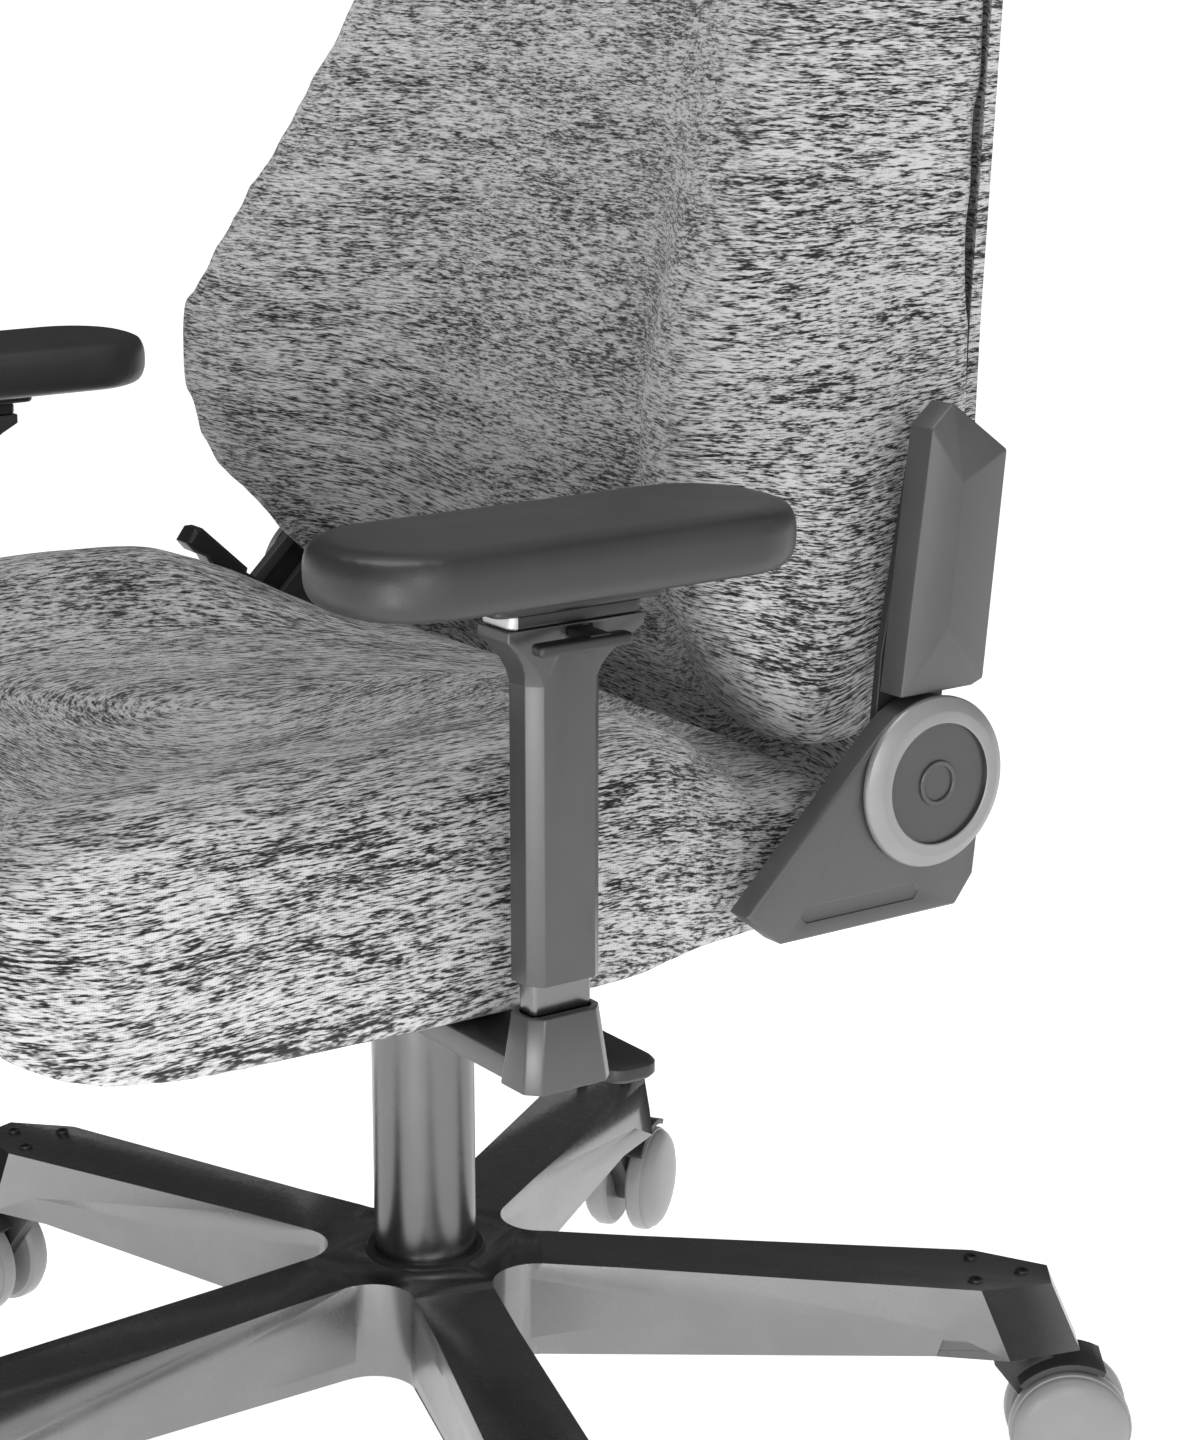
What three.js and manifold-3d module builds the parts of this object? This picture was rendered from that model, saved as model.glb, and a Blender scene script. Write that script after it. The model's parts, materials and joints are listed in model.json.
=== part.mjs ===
// Office-style gaming chair on a five-arm base with twin-wheel casters, a gas lift, a tilting seat,
// a reclining winged backrest and armrests that adjust four ways.
// Millimetres. +Z up, the sitter faces -Y and the sitter's left hand is at +X.
// The origin is on the floor, under the middle of the chair's footprint.

import * as THREE from 'three';
import { mergeVertices } from 'three/addons/utils/BufferGeometryUtils.js';
import Module from 'manifold-3d';

const wasm = await Module();
wasm.setup();

// ---------------------------------------------------------------- driving dimensions

const FIT = 0.3;                    // gap between pieces that are fixed to each other
const RUN = 0.6;                    // gap between pieces that move past each other

const HUB_Y = 30;                   // the lift's axis, behind the middle of the footprint

// base
const ARM_COUNT = 5;
const ARM_END_R = 345;              // hub axis to the top edge of an arm's end
const ARM_END_SLOPE = 17;           // how much further out the end reaches at its foot
const ARM_UNDERSIDE_Z = 80;
const HUB_TOP_Z = 134;
const ARM_TIP_Z = 120;              // top of the arm at its end
const HUB_R = 46;
const WEB_R = 24;                   // fillet between two arms, seen from above
const ARM_HALF_IN = 22;             // half width of an arm at the hub
const ARM_HALF_OUT = 27;            // half width where the end bevels start
const ARM_TIP_HALF = 12;            // half width of the end's edge
const ARM_BEVEL_R = 305;            // where the end bevels start
const ARM_WALL = 6;                 // metal left around the pocket under each arm

// casters
const STEM_R = 328;                 // hub axis to a caster's stem
const STEM_RADIUS = 5.5;
const STEM_DEPTH = 30;              // how far the stem goes up into the arm
const TRAIL = 30;                   // stem to wheel axle
const WHEEL_D = 68;
const WHEEL_W = 20;
const WHEEL_GAP = 12;               // between the two wheels of a caster
const AXLE_RADIUS = 4;

// gas lift
const TUBE_R = 28;
const TUBE_WALL = 2.5;
const TUBE_TOP_Z = 300;
const CYLINDER_R = 14;
const CYLINDER_BOTTOM_Z = 128;
const CYLINDER_TOP_Z = 342;
const LIFT_TRAVEL = 80;
const ROD_R = 5;

// tilt mechanism
const TILT_Y = -70;                 // tilt pivot, ahead of the lift's axis
const TILT_Z = 346;
const TILT_PIN_R = 6;
const HOUSING_W = 130;
const HOUSING_FRONT_Y = -100;
const HOUSING_REAR_Y = 92;
const HOUSING_BOTTOM_Z = 310;
const PLATE_T = 5;                  // seat plate
const LEVER_Z = 330;                // levers under the seat
const LEVER_Y = { left: -40, right: -20 };
const LEVER_REACH = 225;

// seat
const SEAT_BOTTOM_Z = 370;
const SEAT_HALF_W = 272;            // half width over the side bolsters
const SEAT_REAR_HALF_W = SEAT_HALF_W - 16;       // half width between the hinges
const SEAT_FRONT_Y = -372;
const SEAT_REAR_Y = 112;
const SEAT_BOLSTER_Z = 494;
const SEAT_DISH_Z = 455;            // top of the cushion along the middle
const PAN_T = 9;                    // seat pan, let into the cushion's underside

// backrest
const BACK_BOTTOM_Z = 449;
const BACK_TOP_Z = 1302;
const BACK_LEAN = 0.0594;           // rearward lean, as a slope
const BACK_REAR_Y = 205;            // rear face at the height of the side wings' widest point
const BACK_WIDEST_Z = 590;
const TRAY_DEPTH = 34;              // depth of the rear shell that holds the frame
const TRAY_WALL = 6;
const TRAY_GAP = 2.5;              // between the cushion's back and the tray's rim
const FRAME_TUBE_R = 9;
const FRAME_HALF_W = 130;           // middle of the frame's upright tubes
const FRAME_CROSS_Y = 130;          // low cross tube, level with the steel arms
const FRAME_LOW_Z = 560;
const FRAME_TOP_Z = BACK_TOP_Z - 122;

// recliner hinges
const HINGE_Y = 110;
const HINGE_Z = 451;
const HINGE_PIN_R = 8;
const FOOT_INNER_X = SEAT_REAR_HALF_W - 86;   // the hinge bracket's foot on the seat pan
const FOOT_FRONT_Y = 44;
const FOOT_REAR_Y = 80;
const FOOT_T = 9;
const BACK_ARM_X = SEAT_REAR_HALF_W + 4;             // inner face of the steel arm on the backrest
const STEEL_T = 5;
const COVER_X = BACK_ARM_X + 26;                // outer face of the lower hinge cover
const COVER_WALL = 3;
const DISC_R = 42;
const DISC_RECESS_R = 29.5;
const DISC_T = 8;                   // how far the disc stands out of the cover

// armrests
const POST_X = SEAT_HALF_W + 38;                 // middle of the armrest post
const POST_Y = -123;
const POST_W = 38;                  // along the seat
const POST_T = 24;                  // across the seat
const POST_BOTTOM_Z = 406.5;
const POST_TOP_Z = 566;
const POST_CHAMFER = 6;             // along the post's corners
const FLARE_FRONT = 31;             // post axis to the front lip under the pad
const FLARE_REAR = 39;
const UPRIGHT_W = 31;
const UPRIGHT_T = 13;
const UPRIGHT_TOP_Z = 532;
const SLEEVE_TOP_Z = 392;
const SLEEVE_FOOT_W = 46;
const SLEEVE_FOOT_T = 30;
const STRAP_T = 11.5;
const STRAP_INNER_X = 150;
const PAD_X = POST_X - 4;                  // middle of the armrest pad
const PAD_Y = -119;
const PAD_L = 230;
const PAD_W = 92;
const PAD_T = 29;
const FLARE_FROM_Z = 540;           // where the post starts to flare
const LIP_T = 5;
const LEVER_NECK_Y = -118;
const CARRIER_T = 6.5;
const SLIDER_T = 6.5;

// ---------------------------------------------------------------- colours and finishes

function finish(colour, roughness, metalness) {
  return new THREE.MeshStandardMaterial({ color: colour, roughness, metalness });
}

const FABRIC = finish(0x8a8a8c, 0.95, 0.0);
const PAD_FOAM = finish(0x2e2f31, 0.6, 0.0);
const BLACK_METAL = finish(0x3a3a3c, 0.42, 0.7);
const SATIN_METAL = finish(0x6b6b6d, 0.45, 0.6);
const BRIGHT_METAL = finish(0xb5b6b8, 0.3, 0.9);
const GREY_COVER = finish(0x66676a, 0.5, 0.2);
const DISC_GREY = finish(0x9a9b9e, 0.45, 0.3);
const DARK_PLASTIC = finish(0x232427, 0.55, 0.0);
const WHEEL_GREY = finish(0xa6a6a8, 0.4, 0.1);

// ---------------------------------------------------------------- solids

function toSolid(geometry) {
  const bare = geometry.index ? geometry.toNonIndexed() : geometry.clone();
  for (const name of Object.keys(bare.attributes)) {
    if (name !== 'position') bare.deleteAttribute(name);
  }
  const merged = mergeVertices(bare, 1e-4);
  return new wasm.Manifold(
    new wasm.Mesh({
      numProp: 3,
      vertProperties: new Float32Array(merged.attributes.position.array),
      triVerts: new Uint32Array(merged.index.array),
    }),
  );
}

function toGeometry(solid) {
  const mesh = solid.getMesh();
  const geometry = new THREE.BufferGeometry();
  geometry.setAttribute('position', new THREE.BufferAttribute(mesh.vertProperties, 3));
  geometry.setIndex(new THREE.BufferAttribute(mesh.triVerts, 1));
  return geometry;
}

function join(first, ...others) {
  return toGeometry(others.reduce((sum, g) => sum.add(toSolid(g)), toSolid(first)));
}

function cut(body, ...tools) {
  return toGeometry(tools.reduce((rest, g) => rest.subtract(toSolid(g)), toSolid(body)));
}

function outline(points) {
  return new THREE.Shape(points.map(([x, y]) => new THREE.Vector2(x, y)));
}

function roundedRect(width, height, radius) {
  const w = width / 2;
  const h = height / 2;
  const s = new THREE.Shape();
  s.moveTo(-w + radius, -h);
  s.lineTo(w - radius, -h);
  s.absarc(w - radius, -h + radius, radius, -Math.PI / 2, 0);
  s.absarc(w - radius, h - radius, radius, 0, Math.PI / 2);
  s.absarc(-w + radius, h - radius, radius, Math.PI / 2, Math.PI);
  s.absarc(-w + radius, -h + radius, radius, Math.PI, Math.PI * 1.5);
  return s;
}

// A flat outline in X and Y, thickened upwards from z = from to z = to.
function slab(shape, from, to, bevel = 0, curveSegments = 3, bevelSegments = 1) {
  const g = new THREE.ExtrudeGeometry(shape, {
    depth: to - from - 2 * bevel,
    bevelEnabled: bevel > 0,
    bevelThickness: bevel,
    bevelSize: bevel,
    bevelOffset: -bevel,
    bevelSegments,
    curveSegments,
  });
  return g.translate(0, 0, from + bevel);
}

// A side outline in Y and Z, thickened across the chair from x = from to x = to.
function sidePlate(shape, from, to, bevel = 0, curveSegments = 6) {
  const g = slab(shape, from, to, bevel, curveSegments);
  return g.applyMatrix4(new THREE.Matrix4().set(0, 0, 1, 0, 1, 0, 0, 0, 0, 1, 0, 0, 0, 0, 0, 1));
}

function box(x0, x1, y0, y1, z0, z1) {
  return new THREE.BoxGeometry(x1 - x0, y1 - y0, z1 - z0).translate(
    (x0 + x1) / 2,
    (y0 + y1) / 2,
    (z0 + z1) / 2,
  );
}

// A turned piece about Z. The profile runs from the top of the outside to the bottom, as [radius, z].
function turned(profile, segments = 24) {
  const points = [...profile].reverse().map(([r, z]) => new THREE.Vector2(r, z));
  return new THREE.LatheGeometry(points, segments).rotateX(Math.PI / 2);
}

function rod(radius, from, to, segments = 16) {
  return turned([[0, to], [radius, to], [radius, from], [0, from]], segments);
}

// The same rod lying along X, through (y, z).
function crossRod(radius, from, to, y, z, segments = 16) {
  return rod(radius, from, to, segments).rotateY(Math.PI / 2).translate(0, y, z);
}

// Flips a piece made for the sitter's left over to the right, with its faces still pointing out.
function onSide(geometry, side) {
  if (side > 0) return geometry;
  const g = geometry.index ? geometry.toNonIndexed() : geometry.clone();
  g.scale(-1, 1, 1);
  const p = g.attributes.position;
  for (let i = 0; i < p.count; i += 3) {
    const b = new THREE.Vector3().fromBufferAttribute(p, i + 1);
    const c = new THREE.Vector3().fromBufferAttribute(p, i + 2);
    p.setXYZ(i + 1, c.x, c.y, c.z);
    p.setXYZ(i + 2, b.x, b.y, b.z);
  }
  return g;
}

// A box of small faces whose every point (u, v, w), each from -1 to 1, is moved to place(u, v, w).
function moulded(nu, nv, nw, place) {
  const g = new THREE.BoxGeometry(2, 2, 2, nu, nv, nw);
  const p = g.attributes.position;
  for (let i = 0; i < p.count; i += 1) {
    const [x, y, z] = place(p.getX(i), p.getY(i), p.getZ(i));
    p.setXYZ(i, x, y, z);
  }
  return g;
}

function ease(x, from, to) {
  return THREE.MathUtils.smoothstep(x, from, to);
}

function addPiece(group, name, geometry, material) {
  const mesh = new THREE.Mesh(geometry, material.clone());
  mesh.name = name;
  group.add(mesh);
}

// ---------------------------------------------------------------- base

function armTopZ(r) {
  const start = ARM_HALF_IN * 3;
  return THREE.MathUtils.mapLinear(Math.max(r, start), start, ARM_END_R, HUB_TOP_Z, ARM_TIP_Z);
}

// One arm along +X: a flat top, and folded side faces that widen and tuck under towards the end.
function baseArm() {
  const foot = ARM_UNDERSIDE_Z;
  const start = ARM_HALF_IN * 3;
  const creaseR = 112;
  const apexR = 163;
  const foldR = 286;
  const side = (s) => ({
    hubTop: [0, s * ARM_HALF_IN, HUB_TOP_Z],
    slopeTop: [start, s * ARM_HALF_IN, HUB_TOP_Z],
    hubFoot: [0, s * ARM_HALF_IN, foot],
    creaseTop: [creaseR, s * ARM_HALF_IN, armTopZ(creaseR)],
    bevelTop: [ARM_BEVEL_R, s * ARM_HALF_OUT, armTopZ(ARM_BEVEL_R)],
    tipTop: [ARM_END_R, s * ARM_TIP_HALF, ARM_TIP_Z],
    tipFoot: [ARM_END_R + ARM_END_SLOPE, s * ARM_TIP_HALF, foot],
    bevelFoot: [ARM_BEVEL_R + ARM_END_SLOPE, s * ARM_HALF_OUT, foot],
    apex: [apexR, s * (ARM_HALF_IN + 1), foot + 28],
    fold: [foldR, s * ARM_HALF_OUT, foot + 18],
    tuck: [foldR - 4, s * (ARM_HALF_OUT - 6), foot],
  });
  const a = side(1);
  const b = side(-1);
  const rings = (p) => [
    [p.hubTop, p.hubFoot, p.apex],
    [p.hubTop, p.apex, p.slopeTop],
    [p.slopeTop, p.apex, p.creaseTop],
    [p.hubFoot, p.tuck, p.apex],
    [p.creaseTop, p.apex, p.fold],
    [p.creaseTop, p.fold, p.bevelTop],
    [p.bevelTop, p.fold, p.bevelFoot],
    [p.apex, p.tuck, p.fold],
    [p.fold, p.tuck, p.bevelFoot],
    [p.bevelTop, p.bevelFoot, p.tipFoot],
    [p.bevelTop, p.tipFoot, p.tipTop],
  ];
  const quads = [
    [a.hubTop, a.slopeTop, b.slopeTop, b.hubTop],
    [a.slopeTop, a.creaseTop, b.creaseTop, b.slopeTop],
    [a.creaseTop, a.bevelTop, b.bevelTop, b.creaseTop],
    [a.bevelTop, a.tipTop, b.tipTop, b.bevelTop],
    [a.tipTop, a.tipFoot, b.tipFoot, b.tipTop],
    [a.tipFoot, a.bevelFoot, b.bevelFoot, b.tipFoot],
    [a.bevelFoot, a.tuck, b.tuck, b.bevelFoot],
    [a.tuck, a.hubFoot, b.hubFoot, b.tuck],
    [a.hubFoot, a.hubTop, b.hubTop, b.hubFoot],
  ];
  const triangles = [
    ...rings(a).map(([p, q, r]) => [p, r, q]),
    ...rings(b),
    ...quads.flatMap(([p, q, r, s]) => [[p, r, q], [p, s, r]]),
  ];
  const g = new THREE.BufferGeometry();
  const numbers = triangles.flat(2);
  g.setAttribute('position', new THREE.Float32BufferAttribute(numbers, 3));
  return g;
}

// The plate that fills the corners between the arms with rounded webs.
function webPlate() {
  const half = Math.PI / ARM_COUNT;
  const centreR = (ARM_HALF_IN + WEB_R) / Math.sin(half);
  const s = new THREE.Shape();
  for (let i = 0; i < ARM_COUNT; i += 1) {
    const middle = armAngle(i) + half;
    const cx = centreR * Math.cos(middle);
    const cy = centreR * Math.sin(middle);
    const sweep = Math.PI / 2 - half;
    const from = middle + Math.PI + sweep;
    const to = middle + Math.PI - sweep;
    if (i === 0) s.moveTo(cx + WEB_R * Math.cos(from), cy + WEB_R * Math.sin(from));
    s.absarc(cx, cy, WEB_R, from, to, true);
  }
  return slab(s, ARM_UNDERSIDE_Z, HUB_TOP_Z, 0, 6);
}

function armAngle(i) {
  return -Math.PI / 2 + (i * 2 * Math.PI) / ARM_COUNT;
}

function buildBase(group) {
  const arms = [];
  const pockets = [];
  const sockets = [];
  for (let i = 0; i < ARM_COUNT; i += 1) {
    const turn = armAngle(i);
    const pocketEnd = STEM_R - 4 * STEM_RADIUS;
    const pocket = box(
      HUB_R * 2, pocketEnd,
      -ARM_HALF_IN + 2 * ARM_WALL, ARM_HALF_IN - 2 * ARM_WALL,
      ARM_UNDERSIDE_Z - 1, armTopZ(pocketEnd) - ARM_WALL,
    );
    const socket = rod(
      STEM_RADIUS + RUN,
      ARM_UNDERSIDE_Z - 1, ARM_UNDERSIDE_Z + STEM_DEPTH + 2 * RUN,
      20,
    ).translate(STEM_R, 0, 0);
    arms.push(baseArm().rotateZ(turn));
    pockets.push(pocket.rotateZ(turn));
    sockets.push(socket.rotateZ(turn));
  }
  const bore = turned([
    [0, HUB_TOP_Z + 1],
    [TUBE_R + FIT, HUB_TOP_Z + 1],
    [TUBE_R + FIT, HUB_TOP_Z - 1],
    [TUBE_R - 2 + FIT, ARM_UNDERSIDE_Z - 1],
    [0, ARM_UNDERSIDE_Z - 1],
  ], 40);
  const star = join(webPlate(), ...arms);
  addPiece(group, 'base_star', cut(star, bore, ...pockets, ...sockets), BLACK_METAL);
}

// ---------------------------------------------------------------- casters

// A caster's frame has its stem on Z and trails along +X.
function casterFork() {
  const boss = ARM_UNDERSIDE_Z - RUN;
  const axleZ = WHEEL_D / 2;
  const bossR = 2.2 * STEM_RADIUS;
  const fenderIn = WHEEL_D / 2 + 2;
  const fenderOut = fenderIn + 3.5;
  const web = new THREE.Shape();
  web.moveTo(-bossR, boss);
  web.lineTo(-bossR, boss - 12);
  web.lineTo(TRAIL - 16, axleZ);
  web.absarc(TRAIL, axleZ, 16, Math.PI, 2 * Math.PI);
  web.lineTo(TRAIL + 16, axleZ + 16);
  web.absarc(TRAIL, axleZ, fenderIn + 1, THREE.MathUtils.degToRad(64), THREE.MathUtils.degToRad(100));
  web.lineTo(bossR, boss);
  const plate = slab(web, -WHEEL_GAP / 2 + RUN, WHEEL_GAP / 2 - RUN, 0, 5).rotateX(Math.PI / 2);
  const arch = new THREE.Shape();
  const from = THREE.MathUtils.degToRad(62);
  const to = THREE.MathUtils.degToRad(138);
  arch.absarc(TRAIL, axleZ, fenderOut, from, to);
  arch.absarc(TRAIL, axleZ, fenderIn, to, from, true);
  const fender = slab(arch, -WHEEL_W + 3, WHEEL_W - 3, 0, 5).rotateX(Math.PI / 2);
  const stem = rod(STEM_RADIUS, boss - 2, ARM_UNDERSIDE_Z + STEM_DEPTH, 10);
  const collar = rod(bossR, boss - 7, boss, 12);
  const axle = rod(AXLE_RADIUS, -axleHalfLength(), axleHalfLength(), 10)
    .rotateX(Math.PI / 2)
    .translate(TRAIL, 0, axleZ);
  return join(plate, fender, stem, collar, axle);
}

function axleHalfLength() {
  return WHEEL_GAP / 2 + WHEEL_W - 5;
}

// A wheel with a domed outer face, made with its inner face on z = 0 and its dome upwards.
function wheel() {
  const r = WHEEL_D / 2;
  const bore = AXLE_RADIUS + RUN / 2;
  const boreEnd = axleHalfLength() - WHEEL_GAP / 2 + 1;
  return turned([
    [0, WHEEL_W],
    [r * 0.6, WHEEL_W - 1],
    [r * 0.9, WHEEL_W - 4],
    [r, WHEEL_W - 8],
    [r, 3],
    [r - 3, 0],
    [bore, 0],
    [bore, boreEnd],
    [0, boreEnd],
  ], 18);
}

function buildCasters(group) {
  for (let i = 0; i < ARM_COUNT; i += 1) {
    const caster = new THREE.Group();
    const turn = armAngle(i);
    caster.position.set(STEM_R * Math.cos(turn), STEM_R * Math.sin(turn), 0);
    caster.rotation.z = turn;
    addPiece(caster, `caster_fork_${i + 1}`, casterFork(), DARK_PLASTIC);
    for (const [word, side] of [['right', 1], ['left', -1]]) {
      const g = wheel()
        .translate(0, 0, WHEEL_GAP / 2)
        .rotateX((side * Math.PI) / 2)
        .translate(TRAIL, 0, WHEEL_D / 2);
      addPiece(caster, `caster_wheel_${word}_${i + 1}`, g, WHEEL_GREY);
    }
    group.add(caster);
  }
}

// ---------------------------------------------------------------- gas lift

function buildLift(group) {
  const inner = TUBE_R - TUBE_WALL;
  const floor = ARM_UNDERSIDE_Z + 6;
  const floorTop = floor + 8;
  const bushingBottom = TUBE_TOP_Z - LIFT_TRAVEL - 10;
  const tube = turned([
    [inner, TUBE_TOP_Z],
    [TUBE_R - 1, TUBE_TOP_Z],
    [TUBE_R, TUBE_TOP_Z - 1.5],
    [TUBE_R, HUB_TOP_Z],
    [TUBE_R - 2, floor],
    [ROD_R + 2, floor],
    [ROD_R + 2, floorTop],
    [inner - 2, floorTop],
    [inner - 2, HUB_TOP_Z],
    [inner, HUB_TOP_Z + 4],
    [inner, TUBE_TOP_Z],
  ], 28);
  const bushing = turned([
    [CYLINDER_R + RUN, TUBE_TOP_Z + 2],
    [inner + 1, TUBE_TOP_Z + 2],
    [inner + 1, TUBE_TOP_Z + FIT],
    [inner - FIT, TUBE_TOP_Z + FIT],
    [inner - FIT, bushingBottom],
    [CYLINDER_R + RUN, bushingBottom],
    [CYLINDER_R + RUN, TUBE_TOP_Z + 2],
  ]);
  const bearing = turned([
    [ROD_R + FIT, floorTop + 8],
    [ROD_R + 9, floorTop + 8],
    [ROD_R + 9, floorTop + FIT],
    [ROD_R + FIT, floorTop + FIT],
    [ROD_R + FIT, floorTop + 8],
  ], 16);
  const pistonZ = CYLINDER_BOTTOM_Z + LIFT_TRAVEL + 44;
  const piston = turned([
    [0, pistonZ + 12],
    [CYLINDER_R - 4 - RUN, pistonZ + 12],
    [CYLINDER_R - 4 - RUN, pistonZ],
    [ROD_R, pistonZ],
    [ROD_R, floorTop + 12],
    [ROD_R + 4, floorTop + 12],
    [ROD_R + 4, floorTop + 8 + FIT],
    [ROD_R, floorTop + 8 + FIT],
    [ROD_R, floor - 5],
    [0, floor - 5],
  ], 16);
  const cylinder = turned([
    [0, CYLINDER_TOP_Z],
    [CYLINDER_R - 1, CYLINDER_TOP_Z],
    [CYLINDER_R, CYLINDER_TOP_Z - 30],
    [CYLINDER_R, CYLINDER_BOTTOM_Z],
    [ROD_R + RUN, CYLINDER_BOTTOM_Z],
    [ROD_R + RUN, CYLINDER_BOTTOM_Z + 12],
    [CYLINDER_R - 4, CYLINDER_BOTTOM_Z + 12],
    [CYLINDER_R - 4, CYLINDER_TOP_Z - 16],
    [0, CYLINDER_TOP_Z - 16],
  ]);
  addPiece(group, 'gas_lift_tube', tube, SATIN_METAL);
  addPiece(group, 'lift_guide_bushing', bushing, DARK_PLASTIC);
  addPiece(group, 'lift_thrust_bearing', bearing, BRIGHT_METAL);
  addPiece(group, 'lift_piston_rod', piston, BRIGHT_METAL);
  addPiece(group, 'lift_cylinder', cylinder, BLACK_METAL);
}

// ---------------------------------------------------------------- tilt mechanism

function seatPlateBottomZ() {
  return SEAT_BOTTOM_Z - FIT - PLATE_T;
}

function buildMechanism(group) {
  const half = HOUSING_W / 2;
  const socketTop = CYLINDER_TOP_Z + 1;
  const body = sidePlate(outline([
    [HOUSING_FRONT_Y, HOUSING_BOTTOM_Z + 8],
    [HOUSING_FRONT_Y + 14, HOUSING_BOTTOM_Z],
    [HOUSING_REAR_Y - 14, HOUSING_BOTTOM_Z],
    [HOUSING_REAR_Y, HOUSING_BOTTOM_Z + 8],
    [HOUSING_REAR_Y, socketTop - 20],
    [20, socketTop + 1],
    [TILT_Y + 14, TILT_Z + 10],
    [HOUSING_FRONT_Y, TILT_Z + 10],
  ]), -half, half, 3);
  const socket = turned([
    [0, socketTop],
    [CYLINDER_R - 1 + FIT, socketTop],
    [CYLINDER_R + FIT, socketTop - 31],
    [CYLINDER_R + FIT, HOUSING_BOTTOM_Z - 1],
    [0, HOUSING_BOTTOM_Z - 1],
  ]);
  const pinBore = crossRod(TILT_PIN_R + RUN / 2, -half - 1, half + 1, TILT_Y, TILT_Z);
  const knobBore = rod(5 + RUN, -30, 40)
    .rotateX(Math.PI / 2)
    .translate(0, HOUSING_FRONT_Y, HOUSING_BOTTOM_Z + 20);
  const leverBores = [['left', 1], ['right', -1]].map(([word, side]) =>
    onSide(crossRod(4 + RUN / 2, half - 21, half + 1, LEVER_Y[word], LEVER_Z, 16), side));
  addPiece(group, 'mechanism_housing', cut(body, socket, pinBore, knobBore, ...leverBores), BLACK_METAL);

  const pin = crossRod(TILT_PIN_R, -half - 9, half + 9, TILT_Y, TILT_Z);
  addPiece(group, 'tilt_pivot_pin', pin, BRIGHT_METAL);

  const bottom = seatPlateBottomZ();
  const top = slab(roundedRect(HOUSING_W + 60, 230, 14), bottom, bottom + PLATE_T).translate(0, -4, 0);
  const cheek = outline([
    [TILT_Y - 16, bottom + 1],
    [TILT_Y - 11, TILT_Z - 11],
    [TILT_Y + 11, TILT_Z - 11],
    [TILT_Y + 26, bottom + 1],
  ]);
  const cheeks = [1, -1].map((side) =>
    onSide(sidePlate(cheek, half + RUN, half + RUN + 4), side));
  const cheekBore = crossRod(TILT_PIN_R + RUN / 2, -half - 20, half + 20, TILT_Y, TILT_Z);
  addPiece(group, 'seat_plate', cut(join(top, ...cheeks), cheekBore), BLACK_METAL);

  const knob = turned([
    [0, 26], [15, 26], [19, 23], [19, 4], [16, 0], [5, 0], [5, -28], [0, -28],
  ], 12).rotateX(Math.PI / 2).translate(0, HOUSING_FRONT_Y - 1, HOUSING_BOTTOM_Z + 20);
  addPiece(group, 'tilt_tension_knob', knob, DARK_PLASTIC);

  addPiece(group, 'height_lever', onSide(paddleLever(LEVER_Y.right), -1), DARK_PLASTIC);
  addPiece(group, 'tilt_lock_lever', paddleLever(LEVER_Y.left), DARK_PLASTIC);
}

// A lever under the seat: a steel shaft that turns in the housing, with a flat paddle on its end.
function paddleLever(y) {
  const shaft = rod(4, HOUSING_W / 2 - 20, LEVER_REACH, 12).rotateY(Math.PI / 2);
  const paddle = slab(roundedRect(62, 28, 10), -4.5, 4.5, 2).translate(LEVER_REACH + 10, -6, 0);
  return join(shaft, paddle).translate(0, y, LEVER_Z);
}

// ---------------------------------------------------------------- seat

function seatHalfWidth(y) {
  const rear = ease(y, -50, 0);
  const front = ease(-y, 250, -SEAT_FRONT_Y);
  return SEAT_HALF_W - rear * (SEAT_HALF_W - SEAT_REAR_HALF_W) - front * 16;
}

function seatNose(y) {
  return Math.max(0, (-y - 290) / (-SEAT_FRONT_Y - 290));
}

// The side bolsters stay level and then fall away towards the hinges, down to the dish.
function seatTopZ(x, y) {
  const fall = Math.min(1, Math.max(0, (y + 60) / 108));
  const dish = SEAT_DISH_Z - 9 * ease(y, -20, 70);
  const bolster = Math.max(0, SEAT_BOLSTER_Z - 48 * fall * fall - dish);
  return dish + ease(Math.abs(x), 110, 232) * bolster - 34 * seatNose(y) ** 2;
}

function seatBottomAt(y) {
  const rear = Math.max(0, (y + 30) / 140);
  return SEAT_BOTTOM_Z + 40 * seatNose(y) ** 2 + 14 * rear * rear;
}

function seatPanOutline(grow) {
  const w = SEAT_REAR_HALF_W - 46 + grow;
  const front = SEAT_FRONT_Y + 92 - grow;
  const rear = SEAT_REAR_Y - 30 + grow;
  const points = roundedRect(2 * w, rear - front, 30).getPoints(4);
  return outline(points.map((p) => [p.x, p.y + (front + rear) / 2]));
}

// The foot of a hinge bracket lies on the pan, in a slot through the cushion's side.
function bracketFoot(grow) {
  const top = SEAT_BOTTOM_Z + PAN_T + FIT;
  return box(
    FOOT_INNER_X - grow, BACK_ARM_X + 2 * STEEL_T + RUN + 2 * grow,
    FOOT_FRONT_Y - grow, FOOT_REAR_Y + grow,
    top - grow, top + FOOT_T + grow,
  );
}

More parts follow.
